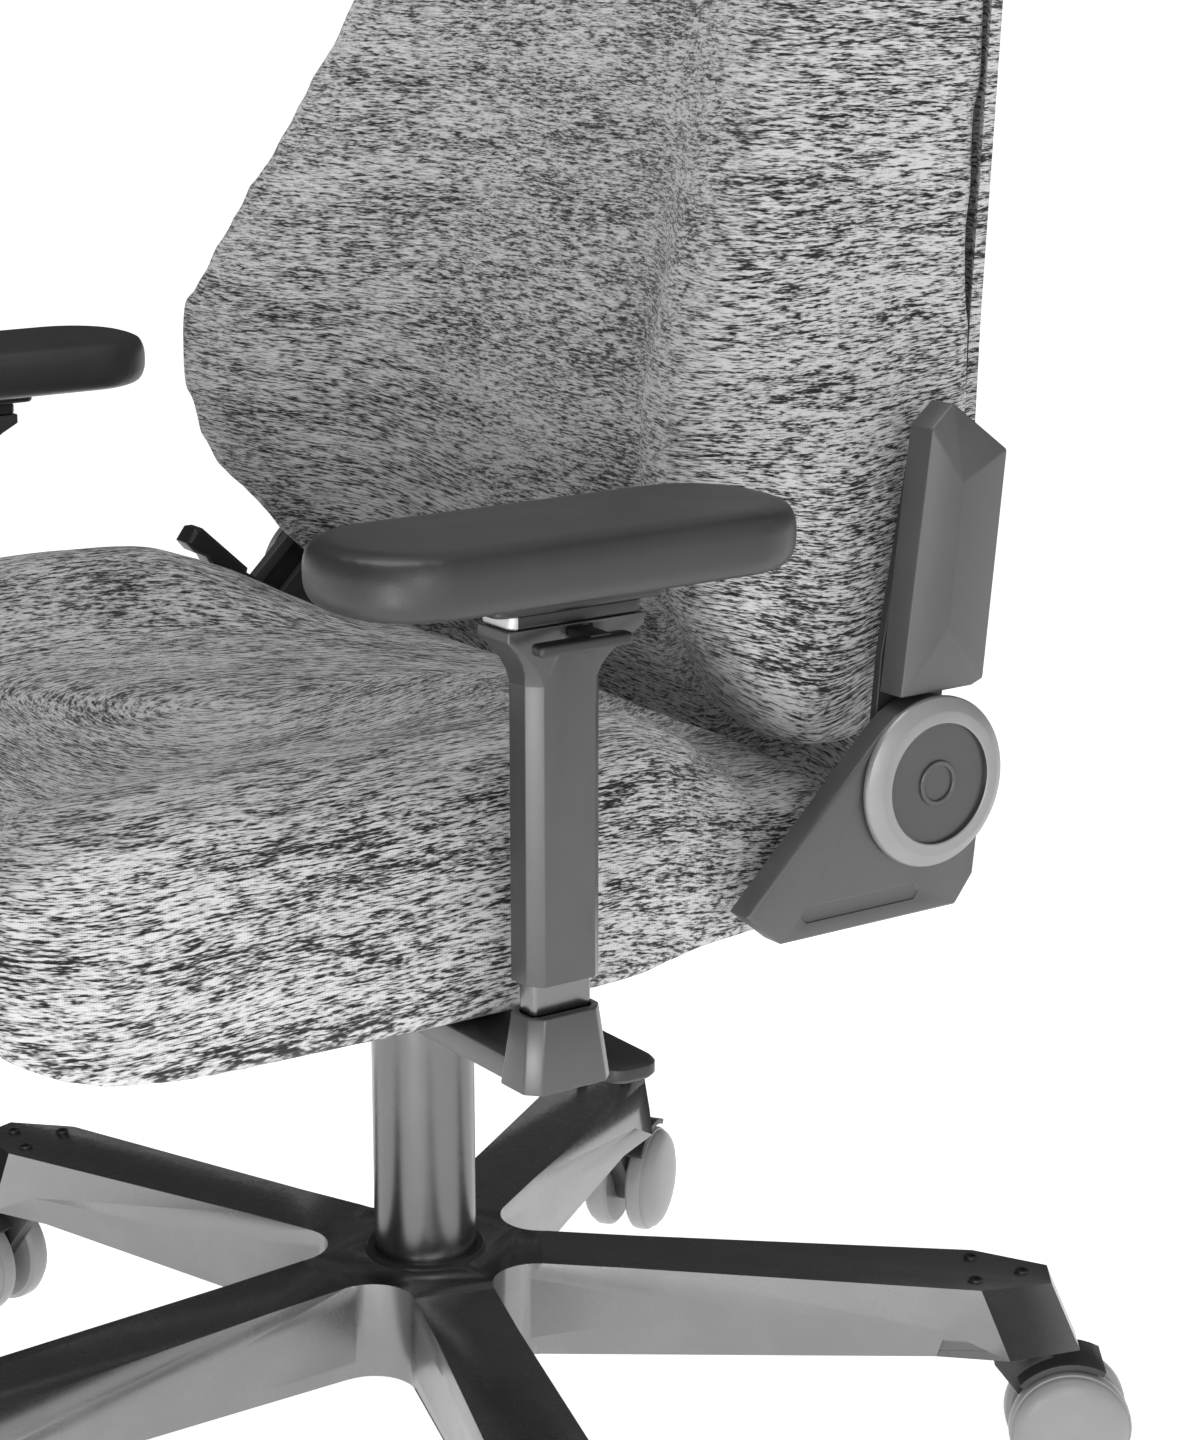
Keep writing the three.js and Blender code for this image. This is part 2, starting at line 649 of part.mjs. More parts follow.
function seatCushion() {
  const middle = (SEAT_FRONT_Y + SEAT_REAR_Y) / 2;
  const half = (SEAT_REAR_Y - SEAT_FRONT_Y) / 2;
  const solid = moulded(12, 10, 2, (u, v, w) => {
    const inset = 1 - 0.03 * w * w;
    const y = middle + half * v * Math.sqrt(1 - 0.1 * u * u) * inset;
    const x = seatHalfWidth(y) * u * Math.sqrt(1 - 0.05 * v * v) * inset;
    const low = seatBottomAt(y);
    const high = seatTopZ(x / inset, y) - 5 * Math.abs(u) ** 8 - 4 * Math.abs(v) ** 8;
    return [x, y, THREE.MathUtils.lerp(low, high, (w + 1) / 2)];
  });
  const recess = slab(seatPanOutline(FIT), SEAT_BOTTOM_Z - 5, SEAT_BOTTOM_Z + PAN_T + FIT);
  return cut(solid, recess, bracketFoot(2 * FIT), onSide(bracketFoot(2 * FIT), -1));
}

function buildSeat(group) {
  addPiece(group, 'seat_cushion', seatCushion(), FABRIC);
  const pan = slab(seatPanOutline(0), SEAT_BOTTOM_Z, SEAT_BOTTOM_Z + PAN_T);
  addPiece(group, 'seat_pan', pan, BLACK_METAL);
}

// ---------------------------------------------------------------- recliner hinges

const BRACKET_X = BACK_ARM_X + STEEL_T + RUN;         // inner face of the seat's hinge steel
const COVER_IN_X = BRACKET_X + STEEL_T + FIT;         // inner face of the lower cover

// An outline in Y and Z whose points are counted from the hinge's axis.
function hingeOutline(points) {
  return outline(points.map(([y, z]) => [HINGE_Y + y, HINGE_Z + z]));
}

// Steel on the seat's side, with the stud that the backrest's arm turns on.
function hingeSteel() {
  const low = SEAT_BOTTOM_Z + PAN_T + FIT - HINGE_Z;
  const plate = sidePlate(hingeOutline([
    [FOOT_FRONT_Y - HINGE_Y, low], [6, low], [24, -12], [20, 18], [0, 27], [-20, 18], [-80, -44],
  ]), BRACKET_X, BRACKET_X + STEEL_T);
  const foot = bracketFoot(0);
  const stud = crossRod(HINGE_PIN_R, BACK_ARM_X - 2, COVER_IN_X + RUN + STEEL_T + 2, HINGE_Y, HINGE_Z);
  return join(plate, foot, stud);
}

// Steel on the backrest's side: an arm that reaches up to the frame's low cross tube. A thicker pad
// on its outside carries the upper cover.
function backSteel() {
  const plate = sidePlate(hingeOutline([
    [-20, -10], [0, -22], [20, -10], [28, 60], [32, 150], [2, 150], [-14, 60],
  ]), BACK_ARM_X, BACK_ARM_X + STEEL_T);
  const pad = sidePlate(hingeOutline([
    [-8, 60], [24, 60], [30, 140], [4, 140],
  ]), BACK_ARM_X + 1, COVER_IN_X - FIT);
  const bore = crossRod(HINGE_PIN_R + RUN, BACK_ARM_X - 1, BRACKET_X, HINGE_Y, HINGE_Z);
  return cut(join(plate, pad), bore);
}

// The lower cover is a shell, open towards the seat, that hides the hinge's steel.
// On the right it also has a slot for the recline lever.
function lowerCover(hasLever) {
  const s = new THREE.Shape();
  s.moveTo(HINGE_Y - 109, HINGE_Z - 49);
  s.lineTo(HINGE_Y - 88, HINGE_Z - 66);
  s.lineTo(HINGE_Y + 19, HINGE_Z - 66);
  s.lineTo(HINGE_Y + 30, HINGE_Z - 52);
  s.lineTo(HINGE_Y + 32, HINGE_Z - 34);
  s.absarc(HINGE_Y, HINGE_Z, DISC_R - 1.5, -0.3, THREE.MathUtils.degToRad(134));
  const shell = sidePlate(s, COVER_IN_X, COVER_X, 1.5);
  const hollow = sidePlate(hingeOutline([
    [-98, -49], [-84, -60], [12, -60], [25, -46], [32, -8], [24, 22], [0, 33], [-26, 22],
  ]), COVER_IN_X - 1, COVER_X - COVER_WALL);
  const groove = sidePlate(hingeOutline([
    [-74, -58], [-8, -58], [-5, -54], [-8, -50], [-74, -50], [-77, -54],
  ]), COVER_X - 1.2, COVER_X + 1);
  if (!hasLever) return cut(shell, hollow, groove);
  const slot = box(
    COVER_IN_X - 1, COVER_IN_X + STEEL_T + 3 * RUN,
    HINGE_Y - 130, HINGE_Y,
    HINGE_Z - 36, HINGE_Z + 50,
  );
  return cut(shell, hollow, groove, slot);
}

// The round cap over the hinge, with a sunk face and a small raised ring in its middle.
function hingeDisc() {
  const sunk = DISC_T - 2.5;
  const cap = turned([
    [0, sunk],
    [8, sunk],
    [8, sunk + 1.5],
    [11, sunk + 1.5],
    [11, sunk],
    [DISC_RECESS_R, sunk],
    [DISC_RECESS_R, DISC_T],
    [DISC_R - 6, DISC_T],
    [DISC_R, DISC_T - 4],
    [DISC_R, FIT],
    [0, FIT],
  ], 28);
  return cap.rotateY(Math.PI / 2).translate(COVER_X, HINGE_Y, HINGE_Z);
}

// The upper cover is a low gem: its edges slope up to a ridge line.
function upperCover() {
  const eaves = COVER_X + 1;
  const crest = COVER_X + 9;
  const edge = [[24, 43.5], [31, 46], [42, 156], [8, 181], [-5, 170], [-20, 43.5]]
    .map(([y, z]) => [HINGE_Y + y, HINGE_Z + z]);
  const ridge = [[HINGE_Y + 1, HINGE_Z + 76], [HINGE_Y + 8, HINGE_Z + 145]];
  const block = sidePlate(outline(edge), COVER_IN_X, eaves);
  return join(block, hippedRoof(edge, eaves, crest, ridge));
}

// A low hipped roof on an outline: every edge slopes up to the line between two ridge points.
function hippedRoof(edge, from, to, ridge) {
  const base = edge.map(([y, z]) => [from - 1, y, z]);
  const eaves = edge.map(([y, z]) => [from, y, z]);
  const ends = ridge.map(([y, z]) => [to, y, z]);
  const middleZ = (ridge[0][1] + ridge[1][1]) / 2;
  const peak = (p) => (p[2] > middleZ ? ends[1] : ends[0]);
  const triangles = [];
  for (let i = 0; i < edge.length; i += 1) {
    const next = (i + 1) % edge.length;
    const [p, q] = [eaves[i], eaves[next]];
    triangles.push([base[i], base[next], q], [base[i], q, p]);
    triangles.push([p, q, peak(q)]);
    if (peak(p) !== peak(q)) triangles.push([p, peak(q), peak(p)]);
    if (i > 0 && next > 0) triangles.push([base[0], base[next], base[i]]);
  }
  const g = new THREE.BufferGeometry();
  g.setAttribute('position', new THREE.Float32BufferAttribute(triangles.flat(2), 3));
  return g;
}

function buildHinges(group) {
  for (const [word, side] of [['left', 1], ['right', -1]]) {
    addPiece(group, `hinge_bracket_${word}`, onSide(hingeSteel(), side), BLACK_METAL);
    addPiece(group, `back_arm_${word}`, onSide(backSteel(), side), BLACK_METAL);
    addPiece(group, `hinge_cover_lower_${word}`, onSide(lowerCover(side < 0), side), GREY_COVER);
    addPiece(group, `hinge_disc_${word}`, onSide(hingeDisc(), side), DISC_GREY);
    addPiece(group, `hinge_cover_upper_${word}`, onSide(upperCover(), side), GREY_COVER);
  }
}

// ---------------------------------------------------------------- recline lever

// A bent steel arm on the right-hand stud, with a stepped grip for the fingers.
function reclineLever() {
  const x = COVER_IN_X + RUN;
  const arm = sidePlate(hingeOutline([
    [6, -10], [-6, -28], [-18, -30], [-50, -12], [-68, 2], [-62, 10], [-40, -4], [-24, -18], [-10, 6],
  ]), x, x + STEEL_T);
  const hub = crossRod(13, x, x + STEEL_T, HINGE_Y, HINGE_Z);
  const bore = crossRod(HINGE_PIN_R + RUN, x - 1, x + STEEL_T + 1, HINGE_Y, HINGE_Z);
  const grip = sidePlate(hingeOutline([
    [-103, 33], [-98, 27], [-90, 23], [-86, 16], [-80, 13], [-76, 7], [-70, 4], [-64, 6],
    [-62, 13], [-92, 41], [-97, 41],
  ]), x - 4, x + STEEL_T + 8, 2);
  return join(cut(join(arm, hub), bore), grip);
}

function buildReclineLever(group) {
  addPiece(group, 'recline_lever', onSide(reclineLever(), -1), DARK_PLASTIC);
}

// ---------------------------------------------------------------- backrest

// Half width over the wings' front edges, half width at the rear, front edge of the wings and
// front face along the middle, each against height.
const WING_HALF_CURVE = curveOf([
  [449, 214], [480, 226], [560, 243], [640, 237], [720, 213], [794, 193], [860, 190],
  [930, 208], [1000, 240], [1060, 262], [1120, 260], [1180, 222], [1240, 172], [1302, 132],
]);
const REAR_HALF_CURVE = curveOf([
  [449, 222], [500, 236], [560, 241], [640, 238], [720, 237], [800, 237], [860, 236],
  [930, 239], [1000, 250], [1060, 260], [1120, 255], [1180, 218], [1240, 170], [1302, 130],
]);
const WING_CURVE = curveOf([
  [449, 86], [495, 41], [545, 0], [593, -14], [639, -7], [706, 33], [794, 81],
  [880, 108], [1000, 102], [1080, 96], [1160, 122], [1302, 150],
]);
const FRONT_CURVE = curveOf([
  [449, 108], [520, 98], [600, 84], [700, 96], [800, 112], [900, 120],
  [1000, 124], [1100, 130], [1200, 134], [1302, 160],
]);

function curveOf(points) {
  return new THREE.SplineCurve(points.map(([z, value]) => new THREE.Vector2(z, value)));
}

// The value of such a curve at a height, found by halving.
function along(curve, z) {
  let low = 0;
  let high = 1;
  for (let i = 0; i < 24; i += 1) {
    const middle = (low + high) / 2;
    if (curve.getPoint(middle).x < z) low = middle;
    else high = middle;
  }
  return curve.getPoint(low).y;
}

function backMiddleRearY(z) {
  const heel = Math.max(0, (BACK_BOTTOM_Z + 90 - z) / 90);
  const crown = Math.max(0, (z - (BACK_TOP_Z - 70)) / 70);
  return BACK_REAR_Y + (z - BACK_WIDEST_Z) * BACK_LEAN - 40 * heel * heel - 26 * crown * crown;
}

function backRearY(x, z) {
  const half = along(REAR_HALF_CURVE, z);
  const round = Math.max(0, (Math.abs(x) - (half - 55)) / 55);
  return backMiddleRearY(z) - 40 * round * round;
}

function backFrontY(x, z) {
  const half = along(WING_HALF_CURVE, z);
  const wing = ease(Math.abs(x) / half, 0.42, 0.96);
  return THREE.MathUtils.lerp(along(FRONT_CURVE, z), along(WING_CURVE, z), wing);
}

// Height of a point of the backrest: v runs from the bottom to the top, and the top corners drop.
function backZ(u, v) {
  const shoulder = Math.max(0, v - 0.8) / 0.2;
  return THREE.MathUtils.lerp(BACK_BOTTOM_Z, BACK_TOP_Z, (v + 1) / 2) - 26 * shoulder ** 2 * u * u;
}

function backSplitY(z) {
  return backMiddleRearY(z) - TRAY_DEPTH;
}

function backCushion() {
  const foam = moulded(10, 18, 2, (u, v, w) => {
    const z = backZ(u, v);
    const half = THREE.MathUtils.lerp(
      along(REAR_HALF_CURVE, z),
      along(WING_HALF_CURVE, z),
      (w + 1) / 2,
    );
    const x = half * u;
    const front = backFrontY(along(WING_HALF_CURVE, z) * u, z) + 4 * Math.abs(u) ** 10;
    return [x, THREE.MathUtils.lerp(backSplitY(z), front, (w + 1) / 2), z];
  });
  const grow = FRAME_TUBE_R + 2 * FIT;
  const slot = box(
    -BACK_ARM_X, BACK_ARM_X,
    FRAME_CROSS_Y - grow, BACK_REAR_Y,
    FRAME_LOW_Z - grow, FRAME_LOW_Z + grow,
  );
  return cut(foam, slot);
}

// The rear shell is a tray, open towards the cushion, that holds the steel frame.
function backShell() {
  const foot = BACK_BOTTOM_Z + 28;
  const head = BACK_TOP_Z - 12;
  const skin = (inset, front) => moulded(8, 16, 1, (u, v, w) => {
    const z = THREE.MathUtils.clamp(backZ(u, v), foot + inset, head - inset);
    const x = (along(REAR_HALF_CURVE, z) - 1 - inset) * u;
    const rear = backRearY(x, z) - inset;
    return [x, w > 0 ? backSplitY(z) + front : rear, z + 0.02 * v];
  });
  const openings = [1, -1].map((side) => onSide(
    crossRod(FRAME_TUBE_R + RUN, FRAME_HALF_W, BACK_ARM_X, FRAME_CROSS_Y, FRAME_LOW_Z), side));
  return cut(skin(0, TRAY_GAP), skin(TRAY_WALL, -10), ...openings);
}

function rodBetween(a, b, radius) {
  const path = new THREE.LineCurve3(new THREE.Vector3(...a), new THREE.Vector3(...b));
  const ring = new THREE.Shape();
  ring.absarc(0, 0, radius, 0, 2 * Math.PI);
  return new THREE.ExtrudeGeometry(ring, { extrudePath: path, steps: 1, curveSegments: 8 });
}

function buildBackrest(group) {
  addPiece(group, 'backrest_cushion', backCushion(), FABRIC);
  addPiece(group, 'backrest_rear_shell', backShell(), FABRIC);
  const tubeY = (z) => backMiddleRearY(z) - TRAY_WALL - FRAME_TUBE_R - 4;
  const low = crossRod(
    FRAME_TUBE_R, -BACK_ARM_X + FIT, BACK_ARM_X - FIT, FRAME_CROSS_Y, FRAME_LOW_Z,
  );
  addPiece(group, 'frame_cross_tube_low', low, BLACK_METAL);
  for (const [word, side] of [['left', 1], ['right', -1]]) {
    const x = side * FRAME_HALF_W;
    const elbow = [x, tubeY(FRAME_LOW_Z), FRAME_LOW_Z];
    const stub = rodBetween([x, FRAME_CROSS_Y + FRAME_TUBE_R + FIT, FRAME_LOW_Z], elbow, FRAME_TUBE_R);
    const mast = rodBetween(
      [x, tubeY(FRAME_LOW_Z - FRAME_TUBE_R), FRAME_LOW_Z - FRAME_TUBE_R],
      [x, tubeY(FRAME_TOP_Z), FRAME_TOP_Z],
      FRAME_TUBE_R,
    );
    addPiece(group, `frame_upright_${word}`, join(stub, mast), BLACK_METAL);
  }
  const topZ = FRAME_TOP_Z - 30;
  const reach = FRAME_HALF_W - FRAME_TUBE_R - FIT;
  const top = crossRod(FRAME_TUBE_R, -reach, reach, tubeY(topZ), topZ);
  addPiece(group, 'frame_cross_tube_top', top, BLACK_METAL);
}

// ---------------------------------------------------------------- armrests

// The post's outline seen from above: a rectangle with its corners cut off.
function cutCorners(across, along) {
  const [x, y, c] = [across / 2, along / 2, POST_CHAMFER];
  return [
    [x - c, -y], [x, -y + c], [x, y - c], [x - c, y],
    [-x + c, y], [-x, y - c], [-x, -y + c], [-x + c, -y],
  ];
}

// A solid between two level outlines that have as many points as each other.
function lofted(foot, footZ, top, topZ) {
  const triangles = [];
  const n = foot.length;
  for (let i = 0; i < n; i += 1) {
    const next = (i + 1) % n;
    const [a, b] = [[...foot[i], footZ], [...foot[next], footZ]];
    const [c, d] = [[...top[next], topZ], [...top[i], topZ]];
    triangles.push([a, b, c], [a, c, d]);
    if (i > 0 && next > 0) {
      triangles.push([[...foot[0], footZ], b, a], [[...top[0], topZ], d, c]);
    }
  }
  const g = new THREE.BufferGeometry();
  g.setAttribute('position', new THREE.Float32BufferAttribute(triangles.flat(2), 3));
  return g;
}

function uprightBlock(grow, from, to) {
  const shape = roundedRect(UPRIGHT_T + 2 * grow, UPRIGHT_W + 2 * grow, 3);
  return slab(shape, from, to, 0, 3).translate(POST_X, POST_Y, 0);
}

// The bracket runs out from under the seat and ends in a sleeve that grips the upright's foot.
function armBracket() {
  const strapTop = SEAT_BOTTOM_Z - FIT;
  const strapBottom = strapTop - STRAP_T;
  const strap = box(
    STRAP_INNER_X, POST_X,
    POST_Y - POST_W / 2, POST_Y + POST_W / 2,
    strapBottom, strapTop,
  );
  const foot = cutCorners(SLEEVE_FOOT_T, SLEEVE_FOOT_W);
  const top = cutCorners(POST_T, POST_W);
  const sleeve = lofted(foot, strapBottom, top, SLEEVE_TOP_Z).translate(POST_X, POST_Y, 0);
  return cut(join(sleeve, strap), uprightBlock(FIT, strapTop, SLEEVE_TOP_Z + 1));
}

// How far the post reaches along the seat, to the front (way -1) or the rear (way 1).
function postReach(z, way) {
  const flare = way < 0 ? FLARE_FRONT : FLARE_REAR;
  const rise = Math.max(0, (z - FLARE_FROM_Z) / (POST_TOP_Z - LIP_T - FLARE_FROM_Z));
  return POST_W / 2 + (flare - POST_W / 2) * Math.min(1, rise) ** 2;
}

// The post's outline at a height. Its cut corners fade out where it flares to its lip.
function postRing(z) {
  const fade = Math.min(1, Math.max(0, (z - FLARE_FROM_Z) / (POST_TOP_Z - LIP_T - FLARE_FROM_Z)));
  const c = POST_CHAMFER * (1 - 0.9 * fade);
  const x = POST_T / 2;
  const [front, rear] = [-postReach(z, -1), postReach(z, 1)];
  return [
    [x - c, front], [x, front + c], [x, rear - c], [x - c, rear],
    [-x + c, rear], [-x, rear - c], [-x, front + c], [-x + c, front],
  ];
}

// The post is a casing that slides on the upright and flares out under the pad.
function armPost() {
  const lip = POST_TOP_Z - LIP_T;
  const heights = [POST_BOTTOM_Z, FLARE_FROM_Z];
  for (let i = 1; i < 5; i += 1) heights.push(FLARE_FROM_Z + ((lip - FLARE_FROM_Z) * i) / 4);
  heights.push(POST_TOP_Z);
  const levels = heights.slice(1).map((z, i) => lofted(postRing(heights[i]), heights[i], postRing(z), z));
  const casing = join(...levels).translate(POST_X, POST_Y, 0);
  const bore = uprightBlock(RUN, POST_BOTTOM_Z - 1, UPRIGHT_TOP_Z + 1);
  const pivotHole = rod(7 + RUN, POST_TOP_Z - 12, POST_TOP_Z + 1).translate(POST_X, POST_Y, 0);
  const leverSlot = box(
    POST_X + 8.5, POST_X + POST_T,
    LEVER_NECK_Y - 7, LEVER_NECK_Y + 7,
    POST_TOP_Z - 8, POST_TOP_Z - 1,
  );
  return cut(casing, bore, pivotHole, leverSlot);
}

// A small T-shaped trigger on the outside, under the pad.
function armLever() {
  const z = POST_TOP_Z - 6;
  const face = POST_X + POST_T / 2;
  const neck = box(POST_X + 9.5, face + 16, LEVER_NECK_Y - 5, LEVER_NECK_Y + 5, z, z + 4);
  const paddle = slab(roundedRect(9, 48, 3), z - 2, z + 3, 1);
  return join(neck, paddle.translate(face + 14, LEVER_NECK_Y - 8, 0));
}

function armCarrier() {
  const bottom = POST_TOP_Z + RUN / 2;
  const plate = slab(roundedRect(POST_T, FLARE_FRONT + FLARE_REAR - 2, 4), bottom, bottom + CARRIER_T, 1)
    .translate(0, (FLARE_REAR - FLARE_FRONT) / 2, 0);
  const pivot = rod(7, bottom - 10, bottom + 1);
  return join(plate, pivot).translate(POST_X, POST_Y, 0);
}

function armSlider() {
  const bottom = POST_TOP_Z + CARRIER_T + RUN;
  return slab(roundedRect(POST_T + 10, 88, 6), bottom, bottom + SLIDER_T, 1).translate(POST_X, POST_Y + 4, 0);
}

function armPad() {
  const bottom = POST_TOP_Z + CARRIER_T + SLIDER_T + 1.5 * RUN;
  const bevel = 9;
  const shape = roundedRect(PAD_W, PAD_L, 42);
  return slab(shape, bottom, bottom + PAD_T, bevel, 5, 2).translate(PAD_X, PAD_Y, 0);
}

function buildArmrests(group) {
  const strapTop = SEAT_BOTTOM_Z - FIT;
  for (const [word, side] of [['left', 1], ['right', -1]]) {
    const upright = uprightBlock(0, strapTop + FIT, UPRIGHT_TOP_Z);
    addPiece(group, `armrest_bracket_${word}`, onSide(armBracket(), side), GREY_COVER);
    addPiece(group, `armrest_upright_${word}`, onSide(upright, side), BRIGHT_METAL);
    addPiece(group, `armrest_post_${word}`, onSide(armPost(), side), SATIN_METAL);
    addPiece(group, `armrest_lever_${word}`, onSide(armLever(), side), DARK_PLASTIC);
    addPiece(group, `armrest_carrier_${word}`, onSide(armCarrier(), side), BRIGHT_METAL);
    addPiece(group, `armrest_slider_${word}`, onSide(armSlider(), side), DARK_PLASTIC);
    addPiece(group, `armrest_pad_${word}`, onSide(armPad(), side), PAD_FOAM);
  }
}

// ---------------------------------------------------------------- chair

function buildChair() {
  const chair = new THREE.Group();
  chair.name = 'gaming_chair';
  chair.position.y = HUB_Y;
  buildBase(chair);
  buildCasters(chair);
  buildLift(chair);
  buildMechanism(chair);
  buildSeat(chair);
  buildHinges(chair);
  buildReclineLever(chair);
  buildBackrest(chair);
  buildArmrests(chair);
  const root = new THREE.Group();
  root.add(chair);
  return root;
}

const group = buildChair();

export default group;
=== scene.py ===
# %% [markdown]
# # A gaming chair, dressed over its CAD frame
# The chair comes in as exact solids: a star base with casters, a gas lift, a tilting seat, a reclining
# backrest and armrests that slide and turn. This lesson gives each solid the surface a maker would
# give it: bevels that catch the light, domed wheel covers, foam that swells under its cover, and a
# heather cloth with its slubs and ribs.

# %% Load the frame and keep its size
import json
import math
import bpy
from mathutils import Matrix, Vector


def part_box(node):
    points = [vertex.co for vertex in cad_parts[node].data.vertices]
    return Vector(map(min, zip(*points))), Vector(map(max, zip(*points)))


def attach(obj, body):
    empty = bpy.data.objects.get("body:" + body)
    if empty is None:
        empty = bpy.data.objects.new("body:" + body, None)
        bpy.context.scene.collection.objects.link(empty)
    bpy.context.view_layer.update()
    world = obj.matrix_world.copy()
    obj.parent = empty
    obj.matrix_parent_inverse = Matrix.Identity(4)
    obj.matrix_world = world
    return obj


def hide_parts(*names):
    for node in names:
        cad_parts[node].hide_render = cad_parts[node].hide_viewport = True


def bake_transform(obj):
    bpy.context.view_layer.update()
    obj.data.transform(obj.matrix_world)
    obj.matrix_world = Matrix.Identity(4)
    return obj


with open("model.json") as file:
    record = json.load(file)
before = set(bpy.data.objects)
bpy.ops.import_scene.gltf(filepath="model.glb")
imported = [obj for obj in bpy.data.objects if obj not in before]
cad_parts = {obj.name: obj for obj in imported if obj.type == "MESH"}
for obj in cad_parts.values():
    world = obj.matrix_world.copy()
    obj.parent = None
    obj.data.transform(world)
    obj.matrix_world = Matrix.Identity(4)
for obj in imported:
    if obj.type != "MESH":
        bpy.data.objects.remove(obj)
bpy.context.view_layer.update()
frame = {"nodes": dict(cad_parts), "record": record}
NODES = frame["nodes"]
BODY_OF = {n: b for b, ns in frame["record"]["behaviour"]["bodies"].items() for n in ns}
SLOT_OF = {s["node"]: s["material_slot"] for s in frame["record"]["subparts"]}

# %% [markdown]
# ## Camera
# A long lens about a chair's length away looks across the seat from the sitter's left, a little
# from above. It goes in first, so every later choice can be judged through it.

# %% Camera
bpy.ops.object.camera_add(location=(1.4224, -0.8474, 0.8783),
                          rotation=(math.radians(75.13), 0, math.radians(55.02)))
camera = bpy.context.object
camera.data.lens = 81.45
bpy.context.scene.camera = camera
print("camera looks along", [round(v, 2) for v in camera.matrix_world.to_3x3() @ Vector((0, 0, -1))])

# %% [markdown]
# ## Shader maths
# A finish is a graph of nodes, and most of it is sums. Wrapping a socket in a small class lets a sum
# be written as a sum: every operator below adds one Math node and hands back its output.

# %% A socket that can be used in sums
class Wire:
    def __init__(self, bench, socket):
        self.bench = bench
        self.socket = socket

    def sum(self, operation, a, b=0.0):
        return self.bench.add("Math", {"operation": operation}, _0=a, _1=b)

    def __add__(self, other):
        return self.sum("ADD", self, other)

    def __radd__(self, other):
        return self.sum("ADD", other, self)

    def __sub__(self, other):
        return self.sum("SUBTRACT", self, other)

    def __rsub__(self, other):
        return self.sum("SUBTRACT", other, self)

    def __mul__(self, other):
        return self.sum("MULTIPLY", self, other)

    def __rmul__(self, other):
        return self.sum("MULTIPLY", other, self)

    def sine(self):
        return self.sum("SINE", self)

    def clamp(self):
        return self.sum("MINIMUM", self.sum("MAXIMUM", self, 0.0), 1.0)


print("a sum of sockets adds a node for each sign")


# %% The bench that a finish is mixed on
class Bench:
    """Mixes the nodes of a new material, or of the world."""

    def __init__(self, finish):
        finish.use_nodes = True
        self.finish = finish
        self.tree = finish.node_tree

    def feed(self, socket, value):
        if isinstance(value, Wire):
            self.tree.links.new(value.socket, socket)
        else:
            socket.default_value = value

    def add(self, kind, settings=None, out=0, **inputs):
        node = self.tree.nodes.new("ShaderNode" + kind)
        settings = dict(settings or {})
        for place, colour in settings.pop("stops", []):
            stops = node.color_ramp.elements
            ends = {0.0: stops[0], 1.0: stops[-1]}
            (ends.get(place) or stops.new(place)).color = colour
        for key, value in settings.items():
            setattr(node, key, value)
        for key, value in inputs.items():
            name = int(key[1:]) if key[0] == "_" else key.replace("_", " ")
            self.feed(node.inputs[name], value)
        return Wire(self, node.outputs[out])

    def shade(self, **inputs):
        shader = self.tree.nodes["Principled BSDF"]
        for key, value in inputs.items():
            self.feed(shader.inputs[key.replace("_", " ")], value)
        return self.finish

    def stretched(self, source, scale):
        return self.add("Mapping", Vector=source, Scale=scale)

    def noise(self, vector, scale, detail=2.0, roughness=0.5):
        return self.add("TexNoise", Vector=vector, Scale=scale, Detail=detail, Roughness=roughness)

    def ramp(self, fac, stops):
        return self.add("ValToRGB", {"stops": stops}, Fac=fac)

    def blend(self, fac, a, b):
        node = self.tree.nodes.new("ShaderNodeMix")
        node.data_type = "RGBA"
        self.feed(node.inputs[0], fac)
        self.feed(node.inputs[6], a)
        self.feed(node.inputs[7], b)
        return Wire(self, node.outputs[2])

    def bump(self, height, distance, strength=1.0):
        return self.add("Bump", Height=height, Distance=distance, Strength=strength)


def new_finish(name):
    return Bench(bpy.data.materials.new(name))


def grey(value):
    return (value, value, value, 1.0)


print("bench ready")
